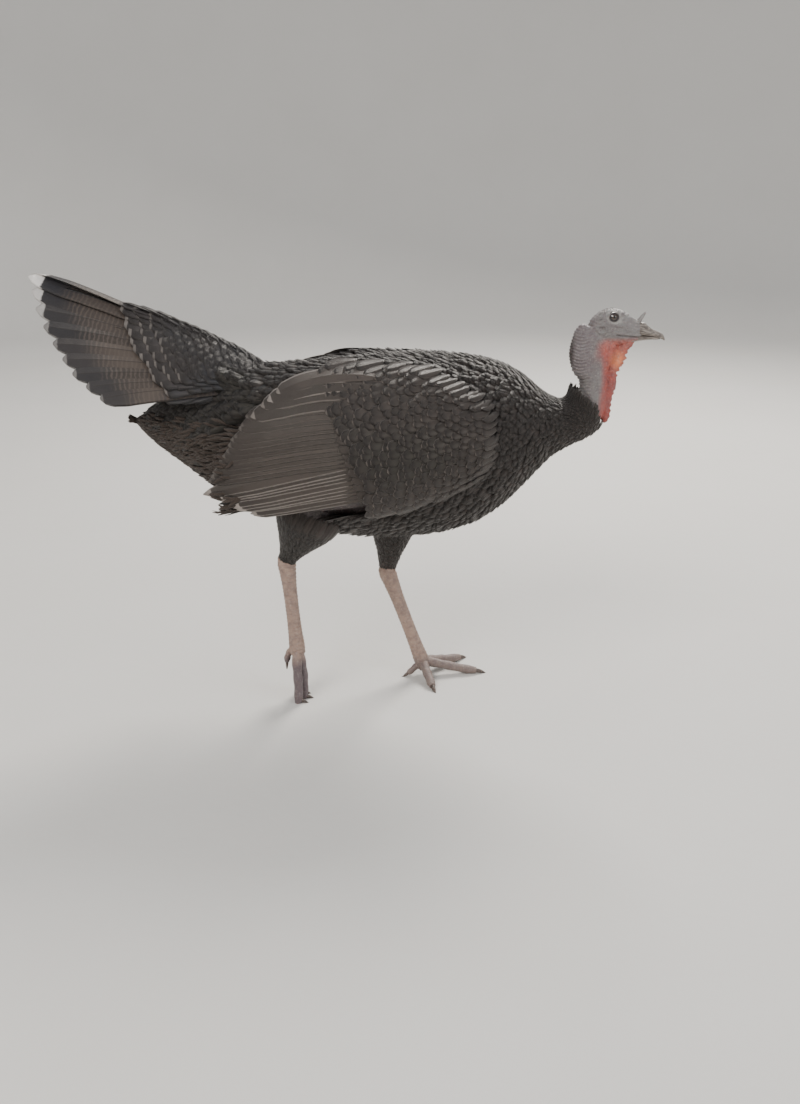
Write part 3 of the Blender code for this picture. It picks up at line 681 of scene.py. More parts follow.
def make_skin():
    """Trunk, arms, legs, toes and head, each a closed body, united into one hide."""
    head = head_and_neck()
    (x_low, z_low), (x_high, z_high) = FINE_HEAD_BOX
    finer(head, lambda p: (p[:, 0] > x_low) & (p[:, 2] > z_low) & (p[:, 0] < x_high) & (p[:, 2] < z_high))
    finer(head, lambda p: eye_places(p)[1] < EYE_RADIUS * 1.75)
    shape_head(head)
    skin = make_mesh("skin", *closed_tube(skin_rings(np.linspace(0.0, 14.0, 80), 40)))
    bodies = {f"arm_{side}": wing_flesh(side) for side in SIDES}
    bodies |= {f"drumstick_{side}": drumstick_body(side) for side in SIDES}
    bodies |= {f"shank_{side}": shank_body(side) for side in SIDES}
    bodies |= {f"toe_{toe}_{side}": toe_body(side, toe) for side in SIDES for toe in FLAT_TOES}
    for name, body in bodies.items():
        add_union(skin, make_mesh(name, *body))
    add_union(skin, head)
    return skin


SKIN_TINTS = {  # colour of each zone, before blotches and veins
    "plucked": (0.030, 0.024, 0.022),
    "head": (0.182, 0.170, 0.166),
    # the crown's paler tint is a painted highlight: the top of the head lighter, as where light falls on it
    "crown": (0.235, 0.222, 0.214),
    # the nape's darker tint is painted shade on the back of the head and neck
    "nape": (0.172, 0.150, 0.154),
    "red": (0.36, 0.075, 0.060),
    "throat": (0.44, 0.13, 0.10),
    # painted highlight: an orange patch on the red of the throat and dewlap, where light catches it
    "highlight_orange": (0.72, 0.23, 0.10),
    "lid": (0.34, 0.33, 0.31),
    "rim": (0.030, 0.026, 0.026),
    "leg": (0.34, 0.235, 0.185),
    "toe": (0.215, 0.165, 0.145),
    # painted shade: the hanging toes of the lifted foot darker than the planted ones
    "shaded_hanging_toe": (0.13, 0.10, 0.105),
}


def tint_skin(obj):
    """A colour at each point, as soft-edged zones: bare head, nape, throat, dewlap, lids, legs, toes. A paler
    crown and an orange patch on the throat are painted highlights; a darker nape and darker hanging toes are
    painted shade.
    """
    points = points_of(obj.data)
    x, y, z = points.T
    count = len(points)
    tint = np.tile(SKIN_TINTS["plucked"], (count, 1))

    def paint(colour, share):
        """Lays a zone's colour over the tint by its share at each point."""
        tint[:] = tint * (1 - share[:, None]) + np.array(SKIN_TINTS[colour]) * share[:, None]

    on_neck = smooth_step(x, 0.285, 0.292)
    paint("head", on_neck * smooth_step(z, 0.385, 0.40))
    # painted shade: the back of the head and neck darker, as out of the light
    paint("nape", on_neck * smooth_step(0.322 - x, 0, 0.02) * smooth_step(z, 0.44, 0.46))
    # painted highlight: the top of the head lighter than its sides, as lit from above
    paint("crown", smooth_step(z - 0.512 - (0.34 - x) * 0.35, 0, 0.012) * on_neck)
    red = redness(points) * on_neck
    paint("red", red)
    paint("throat", red * smooth_step(z, 0.478, 0.492))
    # painted highlight: an orange patch laid over the red of the throat and dewlap
    throat_highlight = bell(x - 0.346, 0.010) * bell(z - 0.468, 0.011)
    paint("highlight_orange", np.clip(throat_highlight * 1.1, 0, 1) * red)
    _, distance, opening, _ = eye_places(points)
    near = (distance < EYE_RADIUS * 1.5) * smooth_step(1.30 - opening, 0, 0.08)
    paint("lid", near * 0.75)
    paint("rim", near * smooth_step(1.10 - opening, 0, 0.03))
    leg = smooth_step(0.215 - z, 0, 0.004) * (x < 0.25)
    paint("leg", leg)
    paint("toe", leg * smooth_step(0.036 - z, 0, 0.016) * (x > 0.0))
    # painted shade: the lifted foot's hanging toes darker, as out of the light
    paint("shaded_hanging_toe", leg * smooth_step(0.074 - z, 0, 0.022) * (x < 0.0))
    colours = np.concatenate([tint, np.ones((count, 1))], axis=1)
    layer = obj.data.attributes.new("tint", "FLOAT_COLOR", "POINT")
    layer.data.foreach_set("color", colours.astype(np.float32).ravel())


def hide_finish():
    """Living skin: the zones' tint, broken by blotches and fine veins, over pores and fine wrinkles."""

    def colour(t):
        tint = add_node(t, "Attribute", attribute_name="tint", out="Color")
        blotch = ease(t, noise(t, 140.0, 4.0, 0.6), 0.35, 0.68)
        spotted = mix_colours(t, calc(t, "MULTIPLY", blotch, 0.42), tint, (0.09, 0.06, 0.07))
        pale = ease(t, noise(t, 420.0, 3.0, 0.65), 0.52, 0.72)
        return mix_colours(t, calc(t, "MULTIPLY", pale, 0.22), spotted, (0.62, 0.55, 0.50))

    def pores(t):
        where = add_node(t, "TexCoord", out="Object")
        feeds = {"Vector": where, "Scale": 950.0, "Randomness": 0.9}
        return add_node(t, "TexVoronoi", feeds, feature="SMOOTH_F1")

    return finish(
        "living_skin",
        colour,
        lambda t: calc(t, "MULTIPLY_ADD", noise(t, 260.0), 0.30, 0.36),
        [(lambda t: noise(t, 330.0, 5.0, 0.65, spread=0.6), 0.0006), (pores, 0.00035)],
        Subsurface_Weight=0.12,
        Subsurface_Radius=(0.003, 0.0012, 0.0008),
        Subsurface_Scale=1.0,
    )


skin = make_skin()
tint_skin(skin)
skin.data.materials.clear()
skin.data.materials.append(hide_finish())
FLESH_NODES = ["trunk", "neck_feathered", "neck_bare", "head", "snood", "wattle"]
FLESH_NODES += [f"{part}_{side}" for part in ("drumstick", "shank") for side in SIDES]
FLESH_NODES += [f"toe_{toe}_{side}" for toe in FLAT_TOES for side in SIDES]
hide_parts(*FLESH_NODES)
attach(skin, BODY)

# Eyes: dark glossy balls, each set under its lids, with a clear bulging front over a brown iris.
PUPIL_EDGE, IRIS_EDGE = 0.27, 0.52  # radians from the eye's axis


def make_eye(side):
    """A ball whose front swells a little: radius by the angle from the line of sight."""
    off_axis = np.concatenate([np.linspace(0.03, 0.9, 26), np.linspace(1.0, 3.1, 18)])
    turn = np.arange(48) * 2 * np.pi / 48
    axis = unit(EYE_AXIS * (1, SIDES[side], 1))
    ahead = unit(np.cross(axis, (0, 0, 1.0)))
    over = np.cross(ahead, axis)
    radius = (EYE_RADIUS - 0.0006) * (1 + 0.055 * np.exp(-((off_axis / 0.42) ** 4)))
    ring = ahead * np.cos(turn)[:, None] + over * np.sin(turn)[:, None]
    rays = np.cos(off_axis)[:, None, None] * axis + np.sin(off_axis)[:, None, None] * ring
    rings = EYE_CENTRE * (1, SIDES[side], 1) + rays * radius[:, None, None]
    eye = make_mesh(f"eyeball_{side}", *closed_tube(rings))
    angles = np.concatenate([np.repeat(off_axis, 48), [0.0, np.pi]])
    layer = eye.data.attributes.new("off_axis", "FLOAT", "POINT")
    layer.data.foreach_set("value", angles.astype(np.float32))
    return eye


def eye_finish():
    """A wet eye: black pupil, streaked brown iris and a dark rim, by the angle off its line of sight."""

    def colour(t):
        angle = add_node(t, "Attribute", attribute_name="off_axis", out="Fac")
        streaks = noise(t, 900.0, 4.0, 0.7)
        iris = mix_colours(t, streaks, (0.055, 0.022, 0.010), (0.020, 0.009, 0.005))
        pupil = ease(t, angle, PUPIL_EDGE - 0.02, PUPIL_EDGE + 0.02)
        dark_inside = mix_colours(t, pupil, (0.002, 0.002, 0.002), iris)
        return mix_colours(t, ease(t, angle, IRIS_EDGE, IRIS_EDGE + 0.08), dark_inside, (0.012, 0.010, 0.010))

    return finish(
        "wet_eye",
        colour,
        lambda t: calc(t, "MULTIPLY_ADD", noise(t, 300.0), 0.03, 0.03),
        [(lambda t: noise(t, 400.0), 0.00002)],
        Coat_Weight=1.0,
        Coat_Roughness=0.02,
        IOR=1.45,
    )


wet_eye = eye_finish()
for side in SIDES:
    eyeball = make_eye(side)
    eyeball.data.materials.append(wet_eye)
    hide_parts(f"eye_{side}")
    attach(eyeball, BODY)

# Bill: two horn sheaths. The upper one has a fleshy hump with the nostrils at its root, a ridge down its
# middle and a down-curved tip over the lower one, which is a shallow trough.
UPPER_BILL_SECTIONS = (  # x, z, reach above, below and to each side
    (0.3660, 0.5040, 0.0095, 0.0045, 0.0085),
    (0.3720, 0.5035, 0.0126, 0.0045, 0.0088),
    (0.3770, 0.5030, 0.0122, 0.0045, 0.0084),
    (0.3830, 0.5020, 0.0085, 0.0042, 0.0074),
    (0.3890, 0.5010, 0.0056, 0.0040, 0.0062),
    (0.3960, 0.4990, 0.0046, 0.0034, 0.0046),
    (0.4020, 0.4965, 0.0038, 0.0030, 0.0030),
    (0.4050, 0.4935, 0.0018, 0.0015, 0.0012),
)
LOWER_BILL_SECTIONS = (  # the same
    (0.3580, 0.4950, 0.0030, 0.0060, 0.0085),
    (0.3720, 0.4960, 0.0028, 0.0042, 0.0074),
    (0.3840, 0.4962, 0.0022, 0.0030, 0.0058),
    (0.3940, 0.4955, 0.0018, 0.0022, 0.0040),
    (0.3990, 0.4950, 0.0010, 0.0012, 0.0018),
)
NOSTRIL = (0.3790, 0.5072)  # x and z of its middle
BILL_SQUARENESS = 0.92


def make_bill(name, sections):
    """Egg-shaped rings along the bill, pushed out or in by a bell over the nostril's flap, one along its
    slit, and a sine along the bill as growth rings."""
    rings = head_rings(sections, 90, 56, BILL_SQUARENESS)
    x, y, z = np.moveaxis(rings, -1, 0)
    across = (x - NOSTRIL[0]) * 0.93 - (z - NOSTRIL[1]) * 0.36
    down = (x - NOSTRIL[0]) * 0.36 + (z - NOSTRIL[1]) * 0.93
    slit = bell(across, 0.0028) * bell(down, 0.00085)
    flap = bell(across, 0.0034) * bell(down - 0.0020, 0.0012)
    middle = rings.mean(axis=1, keepdims=True)
    growth = 0.00012 * np.sin(x * 2400 + 300 * np.abs(y)) * smooth_step(x, 0.382, 0.388)
    push = 0.0007 * flap - 0.0022 * slit + growth
    rings = rings + unit(rings - middle) * push[..., None]
    return make_mesh(name, *closed_tube(rings))


def horn_finish(name, dark, pale, along):
    """Horn: streaks that run along it, with a dull polish and fine grooves."""

    def streak(t):
        where = add_node(t, "TexCoord", out="Object")
        stretched = add_node(t, "Mapping", {"Vector": where, "Scale": along})
        return noise(t, 1.0, 4.0, 0.6, stretched)

    return finish(
        name,
        lambda t: mix_colours(t, ease(t, streak(t), 0.30, 0.72), dark, pale),
        lambda t: calc(t, "MULTIPLY_ADD", noise(t, 500.0), 0.25, 0.28),
        [(streak, 0.0003), (lambda t: noise(t, 900.0), 0.00012)],
    )


bill_horn = horn_finish("bill_horn_grown", (0.075, 0.062, 0.055), (0.30, 0.26, 0.225), (160.0, 620.0, 620.0))
for name, sections in (("bill_upper", UPPER_BILL_SECTIONS), ("bill_lower", LOWER_BILL_SECTIONS)):
    half = make_bill(f"{name}_horn", sections)
    half.data.materials.append(bill_horn)
    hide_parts(name)
    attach(half, BODY)

# Claws: blunt dark horn, slightly hooked, one grown out of the end of each toe.
CLAW_LENGTH, CLAW_RADIUS = 0.015, 0.0032
HANGING_CLAW_HEIGHT = 0.0045
claw_horn = horn_finish("claw_horn_grown", (0.030, 0.022, 0.020), (0.16, 0.12, 0.10), (500.0, 500.0, 260.0))


def claw_body(side, toe):
    """A cone along the toe's last heading that curves down, clipped flat where it meets the floor."""
    control = np.array(toe_path(side, toe))
    forward = control[3] - control[2]
    if side == "right" and toe != "back":
        forward = np.array([1.0, 0.0, -0.15])
        control[3, 2] = HANGING_CLAW_HEIGHT
    size = BACK_TOE_SCALE if toe == "back" else 1.0
    shares = np.linspace(-0.25, 1.0, 26)
    path = control[3] + unit(forward) * CLAW_LENGTH * size * shares[:, None]
    path[:, 2] -= 0.0035 * size * np.clip(shares, 0, 1) ** 2
    radii = np.interp(shares, (-0.25, 0.1, 0.45, 0.8, 0.95, 1.0), (1.0, 1.0, 0.85, 0.52, 0.28, 0.10))
    rings = limb_rings(path, CLAW_RADIUS * size * radii, 20)
    rings[..., 2] = np.maximum(rings[..., 2], 0.0003)
    return closed_tube(rings)


for side in SIDES:
    claws = make_mesh(f"claws_{side}", *join_bodies(*(claw_body(side, toe) for toe in FLAT_TOES)))
    claws.data.materials.append(claw_horn)
    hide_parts(*(f"claw_{toe}_{side}" for toe in FLAT_TOES))
    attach(claws, BODY)

# Body plumage: contour feathers, each a thin curved vane. They grow in staggered rows, lie back over one
# another like tiles, and are shortest where they meet the bare neck and longest on flank and rump.
TRACT_PLACES = (0.0, 2.0, 5.0, 8.0, 10.0, 11.5, 12.5, 13.5, 15.0, 16.0)
FEATHER_LENGTHS = (0.030, 0.044, 0.044, 0.036, 0.030, 0.026, 0.020, 0.0145, 0.0085, 0.0060)
FEATHER_HALF_WIDTHS = (0.0085, 0.0105, 0.0105, 0.0098, 0.0088, 0.0074, 0.0052, 0.0038, 0.0023, 0.0015)
ROW_STEPS = (0.0105, 0.0100, 0.0088, 0.0076, 0.0066, 0.0056, 0.0042, 0.0032, 0.0022, 0.0017)
DOWNWARD_LAY = 0.20  # radians below straight back, on the flanks
PATCH = 0.003  # a feather's share of the unwrapped skin, across
BAR_PITCH = 0.0056  # of the wavy bars across a tail feather
FEATHER_COLUMNS = np.array([-1.0, 0.0, 1.0])
FEATHER_STATIONS = 7
OUTLINE_ALONG = (0.0, 0.10, 0.35, 0.60, 0.80, 0.93, 1.0)
OUTLINE_WIDTH = (0.16, 0.46, 0.88, 1.0, 0.93, 0.66, 0.16)
FEATHER_OUTLINE = np.interp(np.linspace(0, 1, FEATHER_STATIONS), OUTLINE_ALONG, OUTLINE_WIDTH)
TAIL_PITCH = np.radians(27)
TAIL_TOP_START, TAIL_TOP_HEIGHT = -0.105, 0.466  # x and z where the tail's roots leave the back
COVER_LAST, COVER_PER_PLACE, COVER_SIDES = 13, 8, 180  # the table of reach: its last place and its steps
BARE_MARGIN = 0.05  # of a place, between the last feathers and the hairline
rng = np.random.default_rng(11)


def make_vanes(name, middle, outward, half_width, columns, thickness, camber, mark, root_uv, ridge=0.0):
    """Closed vanes: middle and outward are (n, s, 3) arrays and half_width is (n, s).

    A point stands across * half width to the side of the midline and rises by half the thickness times
    the root of 1 - across squared (falls, on the under side), less camber times half width times across
    squared; ridge raises the middle column as a quill that thins towards the tip."""
    count, stations = half_width.shape
    along = unit(np.gradient(middle, axis=1))
    side = unit(np.cross(outward, along))
    lift = np.cross(along, side)
    inner = len(columns) - 2
    across = np.concatenate([columns, columns[-2:0:-1]])
    upper = np.concatenate([np.ones(inner + 2), -np.ones(inner)])
    share = np.linspace(0, 1, stations)
    body = 0.5 * thickness * np.sqrt(1 - across**2)
    quill = ridge * bell(across, 0.07) * (1 - 0.85 * share[:, None])
    rise = upper * (body + quill) - camber * half_width[..., None] * across**2
    points = (
        middle[:, :, None]
        + side[:, :, None] * (across * half_width[..., None])[..., None]
        + lift[:, :, None] * rise[..., None]
    )
    ring = len(across)
    one = grid_faces(stations, ring)
    first = np.arange(count)[:, None, None] * stations * ring
    quads = (one + first).reshape(-1, 4)
    root = (np.arange(ring)[::-1] + first).reshape(-1, ring)
    tip = (np.arange(ring) + (stations - 1) * ring + first).reshape(-1, ring)
    a, b, c = points.reshape(-1, 3)[quads[: len(one)][:, :3]].transpose(1, 0, 2)
    core = points[0].reshape(-1, 3).mean(axis=0)
    if np.einsum("ij,ij->i", a - core, np.cross(b - core, c - core)).sum() < 0:
        quads, root, tip = quads[:, ::-1], root[:, ::-1], tip[:, ::-1]
    obj = make_mesh(name, points.reshape(-1, 3), quads, root, tip)
    shape = (count, stations, ring)
    chance = rng.random(count)[:, None, None]
    vane = [np.broadcast_to(v, shape) for v in (across, share[:, None], chance)]
    length = np.linalg.norm(np.diff(middle, axis=1), axis=2).sum(axis=1)[:, None, None]
    cut = [np.broadcast_to(v, shape) for v in (half_width[..., None], length, mark[:, None, None])]
    for layer, values in (("vane", vane), ("cut", cut)):
        data = obj.data.attributes.new(layer, "FLOAT_VECTOR", "POINT").data
        data.foreach_set("vector", np.stack(values, axis=-1).astype(np.float32).ravel())
    uv = np.stack([np.broadcast_to(across, shape) / 2, np.broadcast_to(share[:, None] - 0.5, shape)], -1)
    uv = (root_uv[:, None, None] + uv * PATCH).reshape(-1, 2)
    corners = np.empty(len(obj.data.loops), np.int32)
    obj.data.loops.foreach_get("vertex_index", corners)
    obj.data.uv_layers.new(name="OFBake").data.foreach_set("uv", uv[corners].astype(np.float32).ravel())
    return obj


def cover_table():
    """How far from the body's axis the folded wings and the tail's root reach, on a table of places and
    angles: along each ray, the last sample that is still inside a wing's outer face or the tail's top."""
    places = np.linspace(0, COVER_LAST, COVER_LAST * COVER_PER_PLACE + 1)
    place, angle = np.meshgrid(places, np.arange(COVER_SIDES) * 2 * np.pi / COVER_SIDES, indexing="ij")
    middle, ray, reach = body_frame(place, angle)
    best = reach.copy()
    for r in np.linspace(0.05, 0.17, 61):
        x, y, z = np.moveaxis(middle + ray * r, -1, 0)
        out, up = wing_side(x, z)
        inside = (np.abs(y) < out) & (up > 0) & (up < 1) & (x > -0.19) & (x < 0.205) & (np.abs(y) > 0.03)
        back = TAIL_TOP_START - x
        ridge = TAIL_TOP_HEIGHT + back * np.tan(TAIL_PITCH) - np.abs(y) * 0.62
        inside |= (back > 0) & (back < 0.07) & (z < ridge) & (z > 0.42) & (np.abs(y) < 0.05)
        best = np.where(inside, np.maximum(best, r), best)
    for _ in range(3):
        best = (best + np.roll(best, 1, 1) + np.roll(best, -1, 1)) / 3
        best[1:-1] = (best[:-2] + best[1:-1] + best[2:]) / 3
    return np.maximum(best, reach)


COVER = cover_table()


def coat_point(place, angle, depth, over):
    """A point at a depth inside the plumage's surface, or inside the wing's and tail's where over: the
    table of reach is read between its four nearest entries."""
    middle, ray, reach = body_frame(place, angle)
    row = np.clip(place, 0, COVER_LAST - 0.01) * COVER_PER_PLACE
    column = (angle / (2 * np.pi) * COVER_SIDES) % COVER_SIDES
    i, j = row.astype(int), column.astype(int)
    s, t = row - i, column - j
    k = (j + 1) % COVER_SIDES
    behind, ahead = (COVER[n, j] * (1 - t) + COVER[n, k] * t for n in (i, i + 1))
    reach = np.where(over, np.maximum(reach, behind * (1 - s) + ahead * s), reach)
    return middle + ray * (reach - np.minimum(depth, reach * 0.6))[..., None]


def lay_on_body(place, angle, length, turn, depth, tip_depth, over):
    """Midlines and outward directions of feathers that step back over the body from their roots: each step
    goes back by its length times the cosine of turn and round by its sine, and sinks from the root's
    depth to the tip's. Past the body's rear end a feather runs straight on."""
    place, angle = place.copy(), angle.copy()
    middles, outs = [], []
    step, going = length / (FEATHER_STATIONS - 1), None
    for share in np.linspace(0, 1, FEATHER_STATIONS):
        level = depth + (tip_depth - depth) * share
        here = coat_point(place, angle, level, over)
        if going is not None:
            here = np.where((place <= 0.02)[:, None], middles[-1] + going, here)
        ahead, behind = (coat_point(place + d, angle, level, over) for d in (0.06, -0.06))
        left, right = (coat_point(place, angle + d, level, over) for d in (0.02, -0.02))
        lengthwise, sideways = ahead - behind, left - right
        out = unit(np.cross(sideways, lengthwise))
        out *= np.sign(np.einsum("ij,ij->i", out, here - body_frame(place, angle)[0]))[:, None]
        middles.append(here)
        outs.append(out)
        going = -unit(lengthwise) * step[:, None]
        back = step * np.cos(turn) * 0.12 / np.linalg.norm(lengthwise, axis=1)
        place = np.maximum(place - back, 0.0)
        angle = angle + step * np.sin(turn) * 0.04 / np.linalg.norm(sideways, axis=1)
    return np.stack(middles, axis=1), np.stack(outs, axis=1)


def on_surface(place, angle):
    """Points of the plumage's own surface, without wings or tail."""
    return coat_point(place, angle, np.zeros(len(place)), np.zeros(len(place), bool))


def feather_roots(first, last):
    """Staggered roots in rows round the body between two places, as arrays of place and angle. A row has
    its girth over 0.85 of a half width, and the rows are a step apart."""
    places, angles, place, odd = [], [], last, 0
    while place > first:
        ring = on_surface(np.full(72, place), np.linspace(0, 2 * np.pi, 73)[:-1])
        girth = np.linalg.norm(ring - np.roll(ring, 1, axis=0), axis=1).sum()
        across = 0.85 * np.interp(place, TRACT_PLACES, FEATHER_HALF_WIDTHS)
        count = int(girth / across)
        angles.append((np.arange(count) + 0.5 * odd) * 2 * np.pi / count)
        places.append(np.full(count, place))
        here, next_ = on_surface(np.array([place, place - 0.1]), np.zeros(2))
        place -= 0.1 * np.interp(place, TRACT_PLACES, ROW_STEPS) / np.linalg.norm(here - next_)
        odd = 1 - odd
    place, angle = np.concatenate(places), np.concatenate(angles)
    place = place + rng.normal(0, 0.03, len(place))
    return place, angle + rng.normal(0, 0.012, len(angle))


def contour_feathers(name, place, angle, loft=1.0, longer=1.0, narrower=1.0, spread=0.10):
    """A tract of body feathers with its roots at the given places and angles. Loft lifts the tips, and
    spread is how far, in radians, the feathers stray from their lay."""
    count = len(place)
    length = np.interp(place, TRACT_PLACES, FEATHER_LENGTHS) * longer * rng.uniform(0.88, 1.12, count)
    width = np.interp(place, TRACT_PLACES, FEATHER_HALF_WIDTHS) * narrower * rng.uniform(0.9, 1.1, count)
    depth = np.interp(place, COAT_PLACES, COAT_DEPTHS)
    turn = -DOWNWARD_LAY * np.cos(angle) * (place < 13) + rng.normal(0, spread, count)
    tip_depth = (0.0012 + rng.uniform(-0.0007, 0.0008, count)) * np.minimum(depth / 0.006, 1)
    tip_depth -= 0.0008 * (loft - 1)
    over = coat_point(place, angle, depth, np.zeros(count, bool))[:, 0] > -0.135
    middle, outward = lay_on_body(place, angle, length, turn, depth, tip_depth, over)
    round_share = (angle / (2 * np.pi) + 0.25) % 1
    root_uv = np.stack([0.01 + 0.97 * np.clip(place, 0, 16.4) / 16.5, 0.01 + 0.97 * round_share], -1)
    return make_vanes(
        name, middle, outward, width[:, None] * FEATHER_OUTLINE, FEATHER_COLUMNS, 0.0005, 0.20,
        np.zeros(count), root_uv,
    )


def feather_finish(
    name, dark, light, painted_sheen, tip, pale, bars=0.0, barb=0.0011, roughness=0.42, tint=(0.80, 0.75, 0.69),
    pale_from=0.925, edge_from=0.3,
):
    """A vane's colours: each feather its own shade, cloudy, with cloudy patches of a sheen colour as painted
    sheen, a darker band before the tip (its blue tint on the tail a painted sheen), a pale edge where it is
    marked, fine wavy cross bars where asked, and barbs that slant off the quill."""

    def parts(t):
        """Share across, share along, chance, half width, length and mark, as the vane's layers hold them."""
        vane, cut = (
            add_node(t, "SeparateXYZ", [add_node(t, "Attribute", attribute_name=layer, out="Vector")]).node
            for layer in ("vane", "cut")
        )
        return calc(t, "ABSOLUTE", vane.outputs[0]), vane.outputs[1], vane.outputs[2], *cut.outputs

    def colour(t):
        across, along, chance, half, length, mark = parts(t)
        shade = calc(t, "MULTIPLY_ADD", chance, 0.6, calc(t, "MULTIPLY", noise(t, 16.0), 0.45))
        base = mix_colours(t, shade, dark, light)
        streak = ease(t, noise(t, 230.0, 3.0, 0.6), 0.45, 0.75)
        base = mix_colours(t, calc(t, "MULTIPLY", streak, 0.35), base, light)
        # painted sheen: cloudy patches of the sheen colour stand in for the plumage's iridescent shine
        sheen_patch = calc(t, "MULTIPLY", ease(t, noise(t, 9.0, 2.0), 0.48, 0.66), 0.75)
        base = mix_colours(t, sheen_patch, base, painted_sheen)
        base = mix_colours(t, calc(t, "MULTIPLY", ease(t, along, 0.70, 0.90), 0.75), base, tip)
        if bars:
            run = calc(t, "MULTIPLY", along, length)
            wander = calc(t, "MULTIPLY", noise(t, 130.0), 7.0)
            wave = calc(t, "MULTIPLY_ADD", run, 2 * np.pi / BAR_PITCH, wander)
            band = calc(t, "MULTIPLY", ease(t, calc(t, "SINE", wave), 0.0, 0.8), bars)
            band = calc(t, "MULTIPLY", band, ease(t, along, 0.88, 0.80))
            base = mix_colours(t, band, base, light)
            base = mix_colours(t, calc(t, "MULTIPLY", ease(t, across, 0.05, 0.02), 0.7), base, dark)
        from_edge = ease(t, along, edge_from - 0.05, edge_from + 0.05)
        sides = calc(t, "MULTIPLY", ease(t, across, 0.74, 0.92), from_edge)
        near_tip = calc(t, "MULTIPLY_ADD", mark, 0.05, along)
        edge = calc(t, "MAXIMUM", sides, ease(t, near_tip, pale_from + 0.05, pale_from + 0.08))
        ragged = calc(t, "ADD", edge, calc(t, "MULTIPLY_ADD", noise(t, 300.0), 0.5, -0.25))
        return mix_colours(t, calc(t, "MULTIPLY", ease(t, ragged, 0.35, 0.7), mark), base, pale)

    def barbs(t):
        across, along, _, half, length, _ = parts(t)
        slope = calc(t, "MULTIPLY", half, -0.9)
        run = calc(t, "MULTIPLY_ADD", across, slope, calc(t, "MULTIPLY", along, length))
        jitter = calc(t, "MULTIPLY", noise(t, 180.0), 2.2)
        return calc(t, "SINE", calc(t, "MULTIPLY_ADD", run, 2 * np.pi / barb, jitter))

    return finish(
        name,
        colour,
        lambda t: calc(t, "MULTIPLY_ADD", noise(t, 120.0), 0.22, roughness - 0.11),
        [(barbs, 0.00012), (lambda t: noise(t, 700.0), 0.0001)],
        Sheen_Weight=0.10,
        Sheen_Roughness=0.4,
        Specular_Tint=(*tint, 1.0),
    )


body_coat = feather_finish(
    "body_plumage", dark=(0.016, 0.013, 0.013), light=(0.042, 0.032, 0.029), painted_sheen=(0.021, 0.021, 0.018),
    tip=(0.010, 0.009, 0.010), pale=(0.30, 0.28, 0.26),
)
TRACTS = {  # each tract's first and last place along the body
    "neck_plumage": (11.6, 17),
    "breast_plumage": (8.6, 11.6),
    "back_plumage": (4.6, 8.6),
    "rump_plumage": (-1, 4.6),
}
place, angle = feather_roots(1.5, 15.95)
root_points = on_surface(place, angle)
_, up_share = wing_side(root_points[:, 0], root_points[:, 2])
under_wing = (up_share > 0.03) & (up_share < 0.93) & (root_points[:, 0] > -0.17)
under_wing &= (root_points[:, 0] < 0.06) & (np.abs(root_points[:, 1]) > 0.035)
under_tail = (root_points[:, 0] < -0.135) & (np.sin(angle) > 0.93)
last_place = hairline(angle) - BARE_MARGIN + rng.uniform(-0.15, 0.25, len(place))
grows = ~under_wing & ~under_tail & (place < last_place)
for name, (low, high) in TRACTS.items():
    chosen = grows & (place > low) & (place <= high)
    tract = contour_feathers(name, place[chosen], angle[chosen])
    tract.data.materials.append(body_coat)
    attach(tract, BODY)

# Fluff: loose, narrow, brown plumes about the vent and low on the belly, where the coat is softest. They
# grow at random, not in rows, and stand a little off the body.
FLUFF_COUNT = 1700
FLUFF_PLACES, FLUFF_ANGLES = (0.45, 4.4), np.radians((170, 370))
fluff_finish = feather_finish(
    "vent_fluff", dark=(0.020, 0.014, 0.012), light=(0.062, 0.044, 0.036), painted_sheen=(0.030, 0.022, 0.018),
    tip=(0.045, 0.033, 0.028), pale=(0.2, 0.15, 0.12), roughness=0.7, tint=(1.0, 0.9, 0.8),
)
place = rng.uniform(*FLUFF_PLACES, FLUFF_COUNT)
angle = rng.uniform(*FLUFF_ANGLES, FLUFF_COUNT)
fluff = contour_feathers("vent_fluff", place, angle, loft=3.0, longer=0.95, narrower=0.30, spread=0.30)
fluff.data.materials.append(fluff_finish)
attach(fluff, BODY)

# Drumsticks: short feathers that run down the leg to just above the hock, where they end in a cuff. They
# grow in staggered rows, as on the body.
CUFF_PITCH = 0.0062  # of the feathers along a row, and of the rows
CUFF_FIRST, CUFF_LAST, CUFF_END = 0.10, 0.90, 0.955  # shares from knee to hock: of the rows and the last tips


def drumstick_row(share):
    """A drumstick's share, half depth and half width at a share of the way from knee to hock."""
    shares = [row[0] for row in DRUMSTICK_SECTIONS]
    return smooth_rows(DRUMSTICK_SECTIONS, np.interp(share, shares, range(len(shares))))


